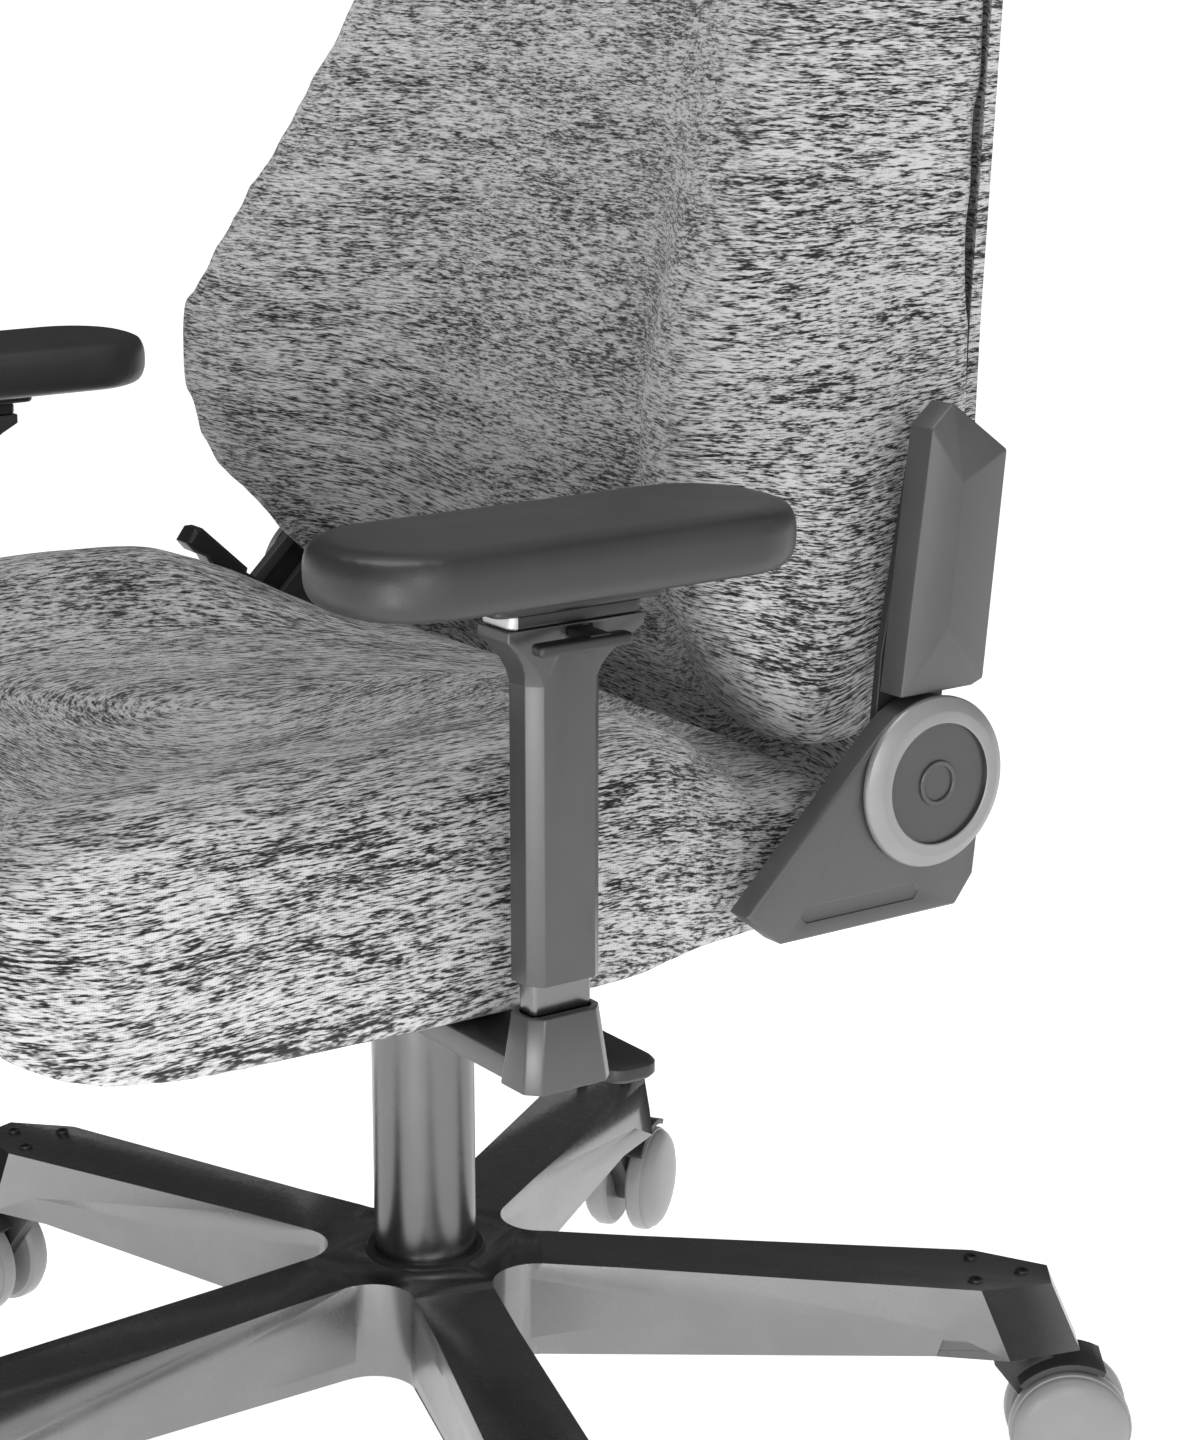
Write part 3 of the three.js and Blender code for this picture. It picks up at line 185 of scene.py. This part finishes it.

# %% [markdown]
# ## Heather cloth
# The cover is a melange weave: black and near-white yarns twisted together, so each weft shows as a
# short streak that fades in and out. The streaks follow the cloth round the cushion, so each vertex
# carries a cloth coordinate called "cloth", whose y runs across the weft. Noise that changes slowly
# in x and z and fast in y makes the slubs, and a fine grid of ribs gives the thread. A second
# attribute, "calm", is where the cover is worn smooth by the sitter, and "seam" is how far the
# nearest sewn line is. Close to that line the colour is darkened: a painted shade in the crease.

# %% Heather cloth
def heather(name, light, dark):
    b = new_finish(name)
    cloth = b.add("Attribute", {"attribute_name": "cloth"}, out=1)
    calm = b.add("Attribute", {"attribute_name": "calm"}, out=2)
    slow = b.noise(b.stretched(cloth, (9, 22, 9)), 1.0, 3.0)
    along = b.add("SeparateXYZ", Vector=cloth)
    across = b.add("SeparateXYZ", out=1, Vector=cloth) + (slow - 0.5) * 0.006
    side = b.add("SeparateXYZ", out=2, Vector=cloth)
    place = b.add("CombineXYZ", X=along, Y=across, Z=side)
    slub = b.noise(b.stretched(place, (95, 720, 95)), 1.0, 2.0, 0.6)
    yarn = b.noise(b.stretched(place, (280, 1600, 280)), 1.0, 1.0, 0.5)
    patch = b.noise(b.stretched(place, (14, 60, 14)), 1.0, 2.0)
    mix = slub * 0.60 + yarn * 0.34 + patch * 0.20 - 0.07
    spread = 5.2 - calm * 1.6
    tone = b.ramp((mix - 0.5) * spread + 0.55, [
        (0.0, grey(dark)), (0.24, grey(dark * 3.2)), (0.44, grey(light * 0.36)),
        (0.66, grey(light * 0.74)), (1.0, grey(light)),
    ])
    warp = ((along + side) * 4400.0).sine() * 0.5 + 0.5
    weft = (across * 4700.0).sine() * 0.5 + 0.5
    gaps = warp * weft
    seam = (b.add("Attribute", {"attribute_name": "seam"}, out=2) * 500.0).clamp()
    # Within 2 mm of the pleat the colour falls to a sixth: painted shade in the crease.
    shade = (0.84 + gaps * 0.26) * (0.16 + seam * 0.84)
    colour = b.blend(shade, (0, 0, 0, 1), tone)
    height = gaps * 0.35 + mix * 0.9 + seam * 1.6
    return b.shade(Base_Color=colour, Roughness=0.92, Sheen_Weight=0.15, Sheen_Roughness=0.5,
                   Specular_IOR_Level=0.16, Normal=b.bump(height, 0.0005, 0.8))


cloth_finish = heather("heather_cloth", 0.62, 0.014)
print("cloth nodes", len(cloth_finish.node_tree.nodes))

# %% [markdown]
# ## Paint, plastic and metal
# The hard finishes share one recipe: a base colour that drifts a little, a fine grain that the
# light picks out, a roughness that is never quite even, and a painted highlight that makes every
# sharp edge a little paler. They differ in their numbers only, so one function mixes them all.

# %% Hard finishes
def hard(name, tone, roughness, metal=0.0, grain=0.00006, grain_size=2600, fleck=0.12,
         painted_edge_highlight=0.25, brushed=None):
    b = new_finish(name)
    place = b.add("TexCoord", out=3)
    if brushed:
        place = b.stretched(place, brushed)
    fine = b.noise(place, grain_size, 1.0)
    broad = b.noise(place, 38, 3.0)
    # Pointiness lifts the colour along sharp edges: a painted highlight.
    edge = (b.add("NewGeometry", out=7) - 0.515) * 9.0
    edge = edge.clamp() * painted_edge_highlight
    level = broad * 0.24 + fine * fleck + (0.88 - fleck / 2) + edge
    colour = b.blend(level * 0.5, (0, 0, 0, 1), grey(tone * 2))
    rough = (broad - 0.5) * 0.16 + (fine - 0.5) * 0.08 + roughness
    return b.shade(Base_Color=colour, Roughness=rough.clamp(), Metallic=metal,
                   Normal=b.bump(fine, grain, 0.6))


finishes = {
    "base_metal": hard("satin_black_coat", 0.20, 0.26, 0.9, fleck=0.2),
    "caster_plastic": hard("caster_plastic", 0.03, 0.45),
    "wheel_grey": hard("wheel_cover", 0.29, 0.32, fleck=0.06),
    "tube_steel": hard("tube_paint", 0.16, 0.24, 0.95, fleck=0.12),
    "guide_plastic": hard("guide_plastic", 0.60, 0.5),
    "bright_steel": hard("drawn_steel", 0.17, 0.22, 1.0, brushed=(1, 1, 0.02), grain_size=900),
    "black_steel": hard("black_steel", 0.035, 0.5, 0.3),
    "dark_plastic": hard("dark_plastic", 0.018, 0.38, fleck=0.2),
    "grey_cover": hard("grey_cover", 0.09, 0.38, 0.45, fleck=0.42, grain_size=3400, painted_edge_highlight=0.5),
    "disc_grey": hard("disc_grey", 0.26, 0.36, 0.5, fleck=0.3, grain_size=3400, painted_edge_highlight=0.5),
    "satin_metal": hard("post_coat", 0.085, 0.32, 0.6, fleck=0.3, grain_size=3200, painted_edge_highlight=0.45),
    "light_metal": hard("light_metal", 0.55, 0.35, 0.6),
    "upholstery": cloth_finish,
}
print("finishes", len(finishes))

# %% [markdown]
# ## Pad skin
# The armrests are foam with a moulded skin: near-black, satin, with a leather-like pebble a fraction
# of a millimetre high. Voronoi cells give the pebble and two noises break up its shine.

# %% Pad skin
def pad_skin():
    b = new_finish("pad_skin")
    place = b.add("TexCoord", out=3)
    pebble = b.add("TexVoronoi", {"feature": "SMOOTH_F1"}, Vector=place, Scale=1500.0)
    smear = b.noise(place, 30, 3.0)
    level = smear * 0.5 + pebble * 0.25 + 0.6
    colour = b.blend(level * 0.5, (0, 0, 0, 1), grey(0.052))
    rough = smear * 0.18 + pebble * 0.06 + 0.29
    return b.shade(Base_Color=colour, Roughness=rough, Specular_IOR_Level=0.55,
                   Normal=b.bump(pebble, 0.00008, 0.7))


finishes["pad_foam"] = pad_skin()
print("pad skin mixed")

# %% [markdown]
# ## Working by hand
# An operator acts on whatever is selected, so each step starts from nothing selected. These few
# helpers do what a hand does: pick a piece, enter edit mode, select faces by where they are.

# %% Hand helpers
def pick(obj):
    if bpy.context.mode != "OBJECT":
        bpy.ops.object.mode_set(mode="OBJECT")
    bpy.ops.object.select_all(action="DESELECT")
    obj.select_set(True)
    bpy.context.view_layer.objects.active = obj
    return obj


def edit_all(obj, mode="VERT"):
    pick(obj)
    bpy.ops.object.mode_set(mode="EDIT")
    bpy.ops.mesh.select_mode(type=mode)
    bpy.ops.mesh.select_all(action="SELECT")


def done():
    bpy.ops.object.mode_set(mode="OBJECT")


def apply(obj, kind, name="step", **settings):
    pick(obj)
    step = obj.modifiers.new(name, kind)
    for key, value in settings.items():
        setattr(step, key, value)
    bpy.ops.object.modifier_apply(modifier=name)


def smooth(obj, degrees=32):
    pick(obj)
    bpy.ops.object.shade_smooth_by_angle(angle=math.radians(degrees))


def settle(obj, node, finish=None, stands_for=True):
    slot = SLOT_OF[node]
    obj.data.materials.clear()
    obj.data.materials.append(finish or finishes[slot])
    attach(obj, BODY_OF[node])
    if stands_for:
        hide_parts(node)
    return obj


print("helpers ready")

# %% [markdown]
# ## From CAD solid to made thing
# A CAD solid has knife edges, and nothing real has. A copy of the solid is merged, its flat faces
# are joined up, and a narrow bevel runs along every true edge, so the light finds it.

# %% Copy, merge and bevel
def copy_of(node, name):
    obj = bpy.data.objects.new(name, NODES[node].data.copy())
    bpy.context.scene.collection.objects.link(obj)
    edit_all(obj)
    bpy.ops.mesh.remove_doubles(threshold=2e-6)
    done()
    return obj


def eased(node, width=0.0008, steps=2, corner=24, name=None, flats=0.6):
    obj = copy_of(node, name or node + "_made")
    edit_all(obj)
    bpy.ops.mesh.dissolve_limited(angle_limit=math.radians(flats))
    done()
    apply(obj, "BEVEL", width=width, segments=steps, limit_method="ANGLE",
          angle_limit=math.radians(corner), use_clamp_overlap=True, miter_outer="MITER_ARC")
    smooth(obj)
    return settle(obj, node)


for node in ("seat_plate", "mechanism_housing", "seat_pan", "tilt_tension_knob", "height_lever",
             "tilt_lock_lever"):
    eased(node, 0.0012)
print("underside eased")

# %% [markdown]
# ## Star base
# The base is one casting with a powder coat. Its edges are crisp but not sharp: a bevel of a little
# over a millimetre gives the thin bright lines along the arms.

# %% Star base
star = eased("base_star", 0.0014, 3, 16, flats=0.4)
print("star faces", len(star.data.polygons))

# %% [markdown]
# ## Turned pieces
# A turned piece starts as a flat disc. Each step extrudes its face along the axis and scales it to
# the next radius, the way a profile is walked on a lathe. The lift tube and the dust ring at its foot
# are turned first; the ring has its two end discs deleted and its open rims bridged into a hole.

# %% A small lathe
def turned(name, profile, sides=96):
    """Walks a profile of (radius, height) pairs up from a disc."""
    radius, height = profile[0]
    bpy.ops.object.select_all(action="DESELECT")
    bpy.ops.mesh.primitive_circle_add(vertices=sides, radius=radius, fill_type="NGON",
                                      location=(0, 0, height))
    obj = bpy.context.object
    obj.name = name
    bpy.ops.object.transform_apply(location=True)
    edit_all(obj)
    bpy.ops.mesh.select_mode(type="FACE")
    for r, z in profile[1:]:
        bpy.ops.mesh.extrude_region_move(TRANSFORM_OT_translate={"value": (0, 0, z - height)})
        bpy.ops.transform.resize(value=(r / radius, r / radius, 1), center_override=(0, 0, z))
        radius, height = r, z
    bpy.ops.mesh.select_all(action="SELECT")
    bpy.ops.mesh.normals_make_consistent(inside=False)
    done()
    return obj


def placed(obj, matrix):
    obj.matrix_world = matrix
    pick(obj)
    bpy.ops.object.transform_apply(location=True, rotation=True, scale=True)
    return obj


def twin(obj, name):
    copy = bpy.data.objects.new(name, obj.data.copy())
    bpy.context.scene.collection.objects.link(copy)
    return copy


low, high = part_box("gas_lift_tube")
HUB = Vector(((low.x + high.x) / 2, (low.y + high.y) / 2, 0))
HUB_TOP = 0.134
tube_r = (high.x - low.x) / 2
tube = turned("gas_lift_tube_made", [
    (tube_r - 0.003, low.z), (tube_r - 0.002, low.z + 0.001), (tube_r, HUB_TOP),
    (tube_r, high.z - 0.0016), (tube_r - 0.0014, high.z), (0.0158, high.z),
    (0.0158, high.z - 0.002),
])
smooth(settle(placed(tube, Matrix.Translation(HUB)), "gas_lift_tube"), 40)
ring = turned("tube_dust_ring", [
    (0.0283, 0.1338), (0.0335, 0.1338), (0.0335, 0.1352), (0.0318, 0.1366), (0.0283, 0.1366),
])
pick(ring)
for face in ring.data.polygons:
    face.select = len(face.vertices) > 8
bpy.ops.object.mode_set(mode="EDIT")
bpy.ops.mesh.delete(type="FACE")
bpy.ops.mesh.select_all(action="SELECT")
bpy.ops.mesh.select_mode(type="EDGE")
bpy.ops.mesh.region_to_loop()
bpy.ops.mesh.bridge_edge_loops()
bpy.ops.mesh.select_all(action="SELECT")
bpy.ops.mesh.normals_make_consistent(inside=False)
done()
smooth(settle(placed(ring, Matrix.Translation(HUB)), "base_star", finishes["dark_plastic"], False))
print("tube radius", round(tube_r, 4), "ring faces", len(ring.data.polygons))

# %% [markdown]
# ## Casters
# Each caster is a dark frame with a short hood and two wheels under domed pale covers. One wheel is
# turned, with its tread, its groove and its dome, and then copied to the other nine places.

# %% Casters
WHEEL_R = 0.034
CASTER_REACH = 0.358
WHEEL_FACE = 0.006


def wheel_pattern():
    r = WHEEL_R
    pattern = turned("wheel_pattern", [
        (0.0150, 0.0004), (r - 0.0032, 0.0004), (r - 0.0006, 0.0024), (r, 0.0045), (r, 0.0095),
        (r - 0.0007, 0.0110), (r - 0.0016, 0.0112), (r - 0.0018, 0.0122), (r - 0.0026, 0.0140),
        (r * 0.84, 0.0164), (r * 0.72, 0.0180), (r * 0.55, 0.0191), (r * 0.35, 0.0197),
        (r * 0.16, 0.0199), (0.0008, 0.01995),
    ], 72)
    smooth(pattern, 28)
    return pattern


pattern = wheel_pattern()
ANGLES = (-90, -18, 54, 126, 198)
ARMS = [Matrix.Translation(HUB) @ Matrix.Rotation(math.radians(angle), 4, "Z") for angle in ANGLES]
for i, arm in enumerate(ARMS, 1):
    axle = arm @ Matrix.Translation((CASTER_REACH, 0, WHEEL_R))
    for word, side in (("right", 1), ("left", -1)):
        lean = Matrix.Rotation(side * math.pi / 2, 4, "X")
        lean = lean @ Matrix.Translation((0, 0, WHEEL_FACE))
        wheel = placed(twin(pattern, f"wheel_{word}_{i}_made"), axle @ lean)
        settle(wheel, f"caster_wheel_{word}_{i}")
    eased(f"caster_fork_{i}", 0.0008, 2, 26)
bpy.data.objects.remove(pattern)
print("ten wheels placed")

# %% [markdown]
# ## Screws on the arms
# Three small socket screws close the end of every arm. A screw is a short cylinder whose rim is
# bevelled, and a six-sided key is cut out of its head. It sits on the sloping top of the arm.

# %% Screws
def screw_pattern():
    bpy.ops.object.select_all(action="DESELECT")
    bpy.ops.mesh.primitive_cylinder_add(vertices=24, radius=0.0038, depth=0.0026)
    head = bpy.context.object
    apply(head, "BEVEL", width=0.0005, segments=2, limit_method="ANGLE")
    bpy.ops.object.select_all(action="DESELECT")
    bpy.ops.mesh.primitive_cylinder_add(vertices=6, radius=0.0019, depth=0.003,
                                        location=(0, 0, 0.0018))
    key = bpy.context.object
    bpy.ops.object.transform_apply(location=True)
    apply(head, "BOOLEAN", object=key, operation="DIFFERENCE", solver="EXACT")
    bpy.data.objects.remove(key)
    smooth(head, 30)
    return head


screw = screw_pattern()
ARM_ROOT = 0.066
ARM_DROP = 0.014
ARM_RUN = 0.279
SCREW_STANDS_OUT = 0.0008
SCREW_SPOTS = ((0.303, 0.0152), (0.303, -0.0152), (0.330, 0.0))
slope = math.atan2(ARM_DROP, ARM_RUN)
for i, arm in enumerate(ARMS, 1):
    for k, (reach, across) in enumerate(SCREW_SPOTS):
        z = HUB_TOP - ARM_DROP * (reach - ARM_ROOT) / ARM_RUN + SCREW_STANDS_OUT
        spot = arm @ Matrix.Translation((reach, across, z)) @ Matrix.Rotation(slope, 4, "Y")
        set_screw = placed(twin(screw, f"arm_screw_{i}_{k}"), spot)
        settle(set_screw, "base_star", finishes["dark_plastic"], False)
bpy.data.objects.remove(screw)
print("screws", 3 * len(ANGLES))

# %% [markdown]
# ## Hinges
# Two steel plates turn against each other inside a pair of covers. The lower cover carries the round
# disc, the upper one is cut like a gem. Bevels keep their planes crisp and their edges bright.

# %% Hinge covers and discs
for word, side in (("left", 1), ("right", -1)):
    eased(f"hinge_cover_upper_{word}", 0.0009, 3, 8, flats=0.2)
    eased(f"hinge_cover_lower_{word}", 0.0009, 2, 26)
    eased(f"hinge_bracket_{word}", 0.0006, 1, 30)
    eased(f"back_arm_{word}", 0.0006, 1, 30)
    low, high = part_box(f"hinge_disc_{word}")
    middle = (low + high) / 2
    radius = (high.z - low.z) / 2
    disc = turned(f"hinge_disc_{word}_made", [
        (radius - 0.0016, 0.0003), (radius, 0.0014), (radius, 0.0030), (radius - 0.0006, 0.0041),
        (radius - 0.0062, 0.0078), (radius - 0.0072, 0.0080), (0.0302, 0.0080), (0.0296, 0.0076),
        (0.0293, 0.0056), (0.0113, 0.0056), (0.0111, 0.0066), (0.0106, 0.0070), (0.0092, 0.0070),
        (0.0086, 0.0066), (0.0084, 0.0056),
    ], 128)
    face_x = low.x if side > 0 else high.x
    stand = Matrix.Translation((face_x - side * 0.0003, middle.y, middle.z))
    placed(disc, stand @ Matrix.Rotation(side * math.pi / 2, 4, "Y"))
    settle(disc, f"hinge_disc_{word}")
    disc.data.materials.append(finishes["satin_metal"])
    for face in disc.data.polygons:
        inside = math.hypot(face.center.y - middle.y, face.center.z - middle.z) < 0.0298
        face.material_index = 1 if inside else 0
    smooth(disc, 24)
eased("recline_lever", 0.0012, 2, 24)
print("hinges finished")

# %% [markdown]
# ## Armrests
# Each armrest is a flat steel bar in a plastic guide, a hollow post with a release lever, and a pad
# carrier on top. The metal and plastic only need their edges broken, a little wider on the post,
# whose cut corners are what one sees first. The carrier is bright at its front and dark behind,
# where the slider's plastic wraps it, so its faces are split between two finishes by their place.

# %% Armrest metalwork
for word, side in (("left", 1), ("right", -1)):
    eased(f"armrest_post_{word}", 0.0009, 3, 14, flats=0.3)
    eased(f"armrest_upright_{word}", 0.0010, 2, 30)
    eased(f"armrest_bracket_{word}", 0.0009, 2, 30)
    eased(f"armrest_lever_{word}", 0.0012, 2, 24)
    carrier = eased(f"armrest_carrier_{word}", 0.0009, 2, 24)
    carrier.data.materials.append(finishes["dark_plastic"])
    low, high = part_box(f"armrest_carrier_{word}")
    for face in carrier.data.polygons:
        face.material_index = 1 if face.center.y > low.y + 0.4 * (high.y - low.y) else 0
    eased(f"armrest_slider_{word}", 0.0009, 2, 24)
print("armrest metalwork eased")

# %% [markdown]
# ## Arm pads
# A pad is moulded foam: nearly flat under the forearm and rounded into its sides, with its front
# end drawn down. The CAD pad is cut into even squares by a remesh and relaxed so its corners round
# off. Its skin is moulded with the foam and can't swell, so no cloth is simulated here.

# %% Soft pieces
def remeshed(node, voxel, relax):
    obj = copy_of(node, node + "_made")
    apply(obj, "REMESH", mode="VOXEL", voxel_size=voxel)
    apply(obj, "SMOOTH", factor=0.5, iterations=relax)
    return obj


PRESSURE = 4.0
CAP = 0.005
FRAMES = 12


def swell(obj, held):
    """Blows the cover up from inside; held(co, normal) is true where it is glued down."""
    before = [v.co.copy() for v in obj.data.vertices]
    glue = obj.vertex_groups.new(name="glued")
    glue.add([v.index for v in obj.data.vertices if held(v.co, v.normal)], 1.0, "REPLACE")
    pick(obj)
    cover = obj.modifiers.new("cover", "CLOTH")
    cover.settings.quality = 2
    cover.settings.mass = 0.3
    cover.settings.tension_stiffness = cover.settings.compression_stiffness = 12
    cover.settings.use_pressure = True
    cover.settings.uniform_pressure_force = PRESSURE
    cover.settings.vertex_group_mass = "glued"
    cover.settings.effector_weights.gravity = 0
    for tick in range(1, FRAMES + 1):
        bpy.context.scene.frame_set(tick)
    bpy.ops.object.modifier_apply(modifier="cover")
    bpy.context.scene.frame_set(1)
    moved = 0.0
    for v, spot in zip(obj.data.vertices, before):
        shift = v.co - spot
        if shift.length > CAP:
            v.co = spot + shift * (CAP / shift.length)
        moved = max(moved, (v.co - spot).length)
    obj.vertex_groups.clear()
    return moved


def shifted(obj, rule):
    """Moves every point along its own normal. The normals are read before anything moves."""
    normals = [v.normal.copy() for v in obj.data.vertices]
    places = []
    for v, normal in zip(obj.data.vertices, normals):
        places.extend(v.co + normal * rule(v.co, normal))
    obj.data.vertices.foreach_set("co", places)
    obj.data.update()


def filled(obj, held, rise):
    """Pads the cover out by rise where it isn't glued down, then lets it settle."""
    shifted(obj, lambda co, n: 0.0 if held(co, n) else rise)
    apply(obj, "SMOOTH", factor=0.5, iterations=4)


def subdivided(obj):
    apply(obj, "SUBSURF", levels=1, render_levels=1)
    pick(obj)
    bpy.ops.object.shade_smooth()


print("a cover may move", CAP, "m")

# %% Arm pads
for word in ("left", "right"):
    node = f"armrest_pad_{word}"
    pad = remeshed(node, 0.003, 3)
    subdivided(pad)
    settle(pad, node)
print("arm pads", len(pad.data.polygons))

# %% [markdown]
# ## Cushions
# The seat is a moulded foam dish with a raised bolster all round, the backrest a thick foam panel
# whose wings fold forward. Both are covered in the heather cloth. Each is remeshed into even squares
# and its cover blown up with Blender's Cloth, held where it is glued to the pan or the shell.

# %% Cloth coordinates
def write(obj, name, kind, values):
    field = obj.data.attributes.new(name, kind, "POINT")
    flat = [c for value in values for c in value] if kind == "FLOAT_VECTOR" else values
    field.data.foreach_set("vector" if kind == "FLOAT_VECTOR" else "value", flat)


def step(low, high, value):
    t = max(0.0, min(1.0, (value - low) / (high - low)))
    return t * t * (3 - 2 * t)


seat_low, seat_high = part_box("seat_cushion")
back_low, back_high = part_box("backrest_cushion")
PLEAT_Y = seat_high.y - 0.027
PLEAT_X = 0.225
PLEAT_HEIGHT = 0.036
CORNER_TIGHTNESS = 30


def seat_cloth(co):
    """The weft runs round the bolster: its level is height plus distance in from the edge."""
    edges = (seat_high.x - abs(co.x), co.y - seat_low.y)
    nearness = sum(math.exp(-CORNER_TIGHTNESS * edge) for edge in edges)
    depth_in = -math.log(nearness) / CORNER_TIGHTNESS
    turn = 0.35 * co.y * step(0.08, 0.22, depth_in)
    return (co.x, co.z + 0.8 * depth_in - turn, co.y)


def back_cloth(co):
    """The weft is level, and dips round the pleat at the foot of each wing."""
    round_pleat = math.hypot(co.y - PLEAT_Y, abs(co.x) - PLEAT_X)
    fade = step(0.70, 0.48, co.z) * step(0.08, 0.2, abs(co.x))
    return (co.x, co.z - 0.42 * round_pleat * fade, co.y)


def pleat(co):
    """Distance to the pleat that closes each wing at its foot."""
    if abs(co.x) < 0.19 or co.z > back_low.z + PLEAT_HEIGHT:
        return 1.0
    return abs(co.y - PLEAT_Y - 0.25 * (co.z - back_low.z))


def dress(obj, cloth, calm, seam):
    obj.data.update()
    spots = obj.data.vertices
    write(obj, "cloth", "FLOAT_VECTOR", [cloth(v.co) for v in spots])
    write(obj, "calm", "FLOAT", [calm(v) for v in spots])
    write(obj, "seam", "FLOAT", [seam(v.co) for v in spots])


def no_seam(co):
    return 1.0


print("pleat at y", round(PLEAT_Y, 3))

# %% Seat cushion
def on_pan(co, normal):
    return co.z < seat_low.z + 0.008


seat = remeshed("seat_cushion", 0.008, 4)
print("seat cover rose by", round(swell(seat, on_pan), 4))
filled(seat, on_pan, 0.002)
subdivided(seat)
dress(seat, seat_cloth, lambda v: step(0.45, 0.95, v.normal.z), no_seam)
settle(seat, "seat_cushion")
print("seat faces", len(seat.data.polygons))

# %% Backrest cushion
def on_shell(co, normal):
    return normal.y > 0.7


back = remeshed("backrest_cushion", 0.0088, 16)
print("back cover rose by", round(swell(back, on_shell), 4))
filled(back, on_shell, 0.0055)
subdivided(back)
PLEAT_DEPTH = 0.003
PLEAT_SPREAD = 0.006
shifted(back, lambda co, n: -PLEAT_DEPTH * max(0.0, 1 - pleat(co) / PLEAT_SPREAD))
dress(back, back_cloth, lambda v: step(0.3, 0.9, -v.normal.y), pleat)
settle(back, "backrest_cushion")
print("back faces", len(back.data.polygons))

# %% [markdown]
# ## Gap flap
# Under the backrest a padded flap hangs behind the seat and closes the gap, so nothing falls
# through. It starts as a thin block, cut into squares, rounded, and bowed like hung cloth.

# %% Gap flap
bpy.ops.object.select_all(action="DESELECT")
FLAP_Y = seat_high.y + 0.019
FLAP_Z = back_low.z - 0.026
bpy.ops.mesh.primitive_cube_add(size=1, location=(0, FLAP_Y, FLAP_Z))
flap = bpy.context.object
flap.name = "gap_flap"
flap.dimensions = (0.452, 0.012, 0.070)
bpy.ops.object.transform_apply(location=True, rotation=True, scale=True)
edit_all(flap)
bpy.ops.mesh.subdivide(number_cuts=11)
done()
apply(flap, "BEVEL", width=0.004, segments=3, limit_method="ANGLE")
for v in flap.data.vertices:
    v.co.y += 0.004 * math.cos(v.co.x * 7) - 1.2 * (v.co.z - FLAP_Z) ** 2
apply(flap, "SMOOTH", factor=0.5, iterations=3)
subdivided(flap)
dress(flap, back_cloth, lambda v: 1.0, no_seam)
flap.data.materials.append(cloth_finish)
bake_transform(flap)
print("flap faces", len(flap.data.polygons))

# %% [markdown]
# ## Rear shell
# Behind the foam is a thin shell covered in the same cloth. It keeps its shape, so it isn't blown
# up: a copy of the CAD shell is merged and given soft edges. Its weft is level nearly everywhere,
# so the few points it has are enough to carry the cloth coordinate.

# %% Rear shell
shell = eased("backrest_rear_shell", 0.003, 3, 30)
dress(shell, back_cloth, lambda v: 0.0, no_seam)
print("shell faces", len(shell.data.polygons))

# %% [markdown]
# ## What is left
# Pins, bearings, frame tubes and the piston rod keep their CAD meshes, because they are plain turned
# or bent stock inside the chair. Each takes the finish of its slot.

# %% Inner pieces
for node, obj in NODES.items():
    obj.data.materials.clear()
    obj.data.materials.append(finishes[SLOT_OF[node]])
print("carried over", len(NODES))

# %% [markdown]
# ## Studio
# A pale floor runs back to a white backdrop. One large soft light stands beside the camera, a small
# one near the floor picks out the cut corners of the posts, and a wide one fills from above. The air
# behind the chair is kept dark, so the metal has something dark to reflect.

# %% Floor and backdrop
def studio_floor():
    bpy.ops.object.select_all(action="DESELECT")
    bpy.ops.mesh.primitive_plane_add(size=90)
    floor = bpy.context.object
    floor.name = "studio_floor"
    b = new_finish("studio_paper")
    grain = b.noise(b.add("TexCoord", out=3), 300, 2.0)
    b.shade(Base_Color=(0.8, 0.8, 0.8, 1), Roughness=grain * 0.1 + 0.7,
            Emission_Color=(1, 1, 1, 1), Emission_Strength=0.9)
    floor.data.materials.append(b.finish)


def studio_air():
    world = bpy.data.worlds.new("studio_air")
    bpy.context.scene.world = world
    b = Bench(world)
    toward = b.add("TexCoord", out=0)
    facing = b.add("VectorMath", {"operation": "DOT_PRODUCT"}, out=1, _0=toward, _1=(0.95, 0.1, 0))
    glow = b.ramp(facing * 0.5 + 0.5, [
        (0.0, grey(0.06)), (0.42, grey(0.10)), (0.62, grey(0.28)),
        (0.85, grey(0.75)), (1.0, grey(0.95)),
    ])
    b.feed(b.tree.nodes["Background"].inputs["Color"], glow)
    white = b.tree.nodes.new("ShaderNodeBackground")
    white.inputs["Color"].default_value = (1, 1, 1, 1)
    split = b.tree.nodes.new("ShaderNodeMixShader")
    b.feed(split.inputs[0], b.add("LightPath"))
    b.tree.links.new(b.tree.nodes["Background"].outputs[0], split.inputs[1])
    b.tree.links.new(white.outputs[0], split.inputs[2])
    b.tree.links.new(split.outputs[0], b.tree.nodes["World Output"].inputs["Surface"])


bpy.context.scene.view_settings.view_transform = "Standard"
studio_floor()
studio_air()
print("floor and backdrop in place")

# %% Softboxes
def softbox(name, place, aim, size, power):
    lamp = bpy.data.lights.new(name, "AREA")
    lamp.shape = "RECTANGLE"
    lamp.size, lamp.size_y = size
    lamp.energy = power
    obj = bpy.data.objects.new(name, lamp)
    bpy.context.scene.collection.objects.link(obj)
    obj.visible_camera = False
    obj.location = place
    obj.rotation_euler = (Vector(aim) - Vector(place)).to_track_quat("-Z", "Y").to_euler()


softbox("key_softbox", (2.5, -1.1, 1.0), (0, 0, 0.5), (0.9, 1.3), 14)
softbox("low_softbox", (0.97, -1.16, 0.2), (0.31, -0.1, 0.45), (0.35, 0.5), 5)
softbox("top_softbox", (-0.1, -0.5, 2.7), (0, 0, 0.5), (1.5, 1.5), 28)
print("studio lit")
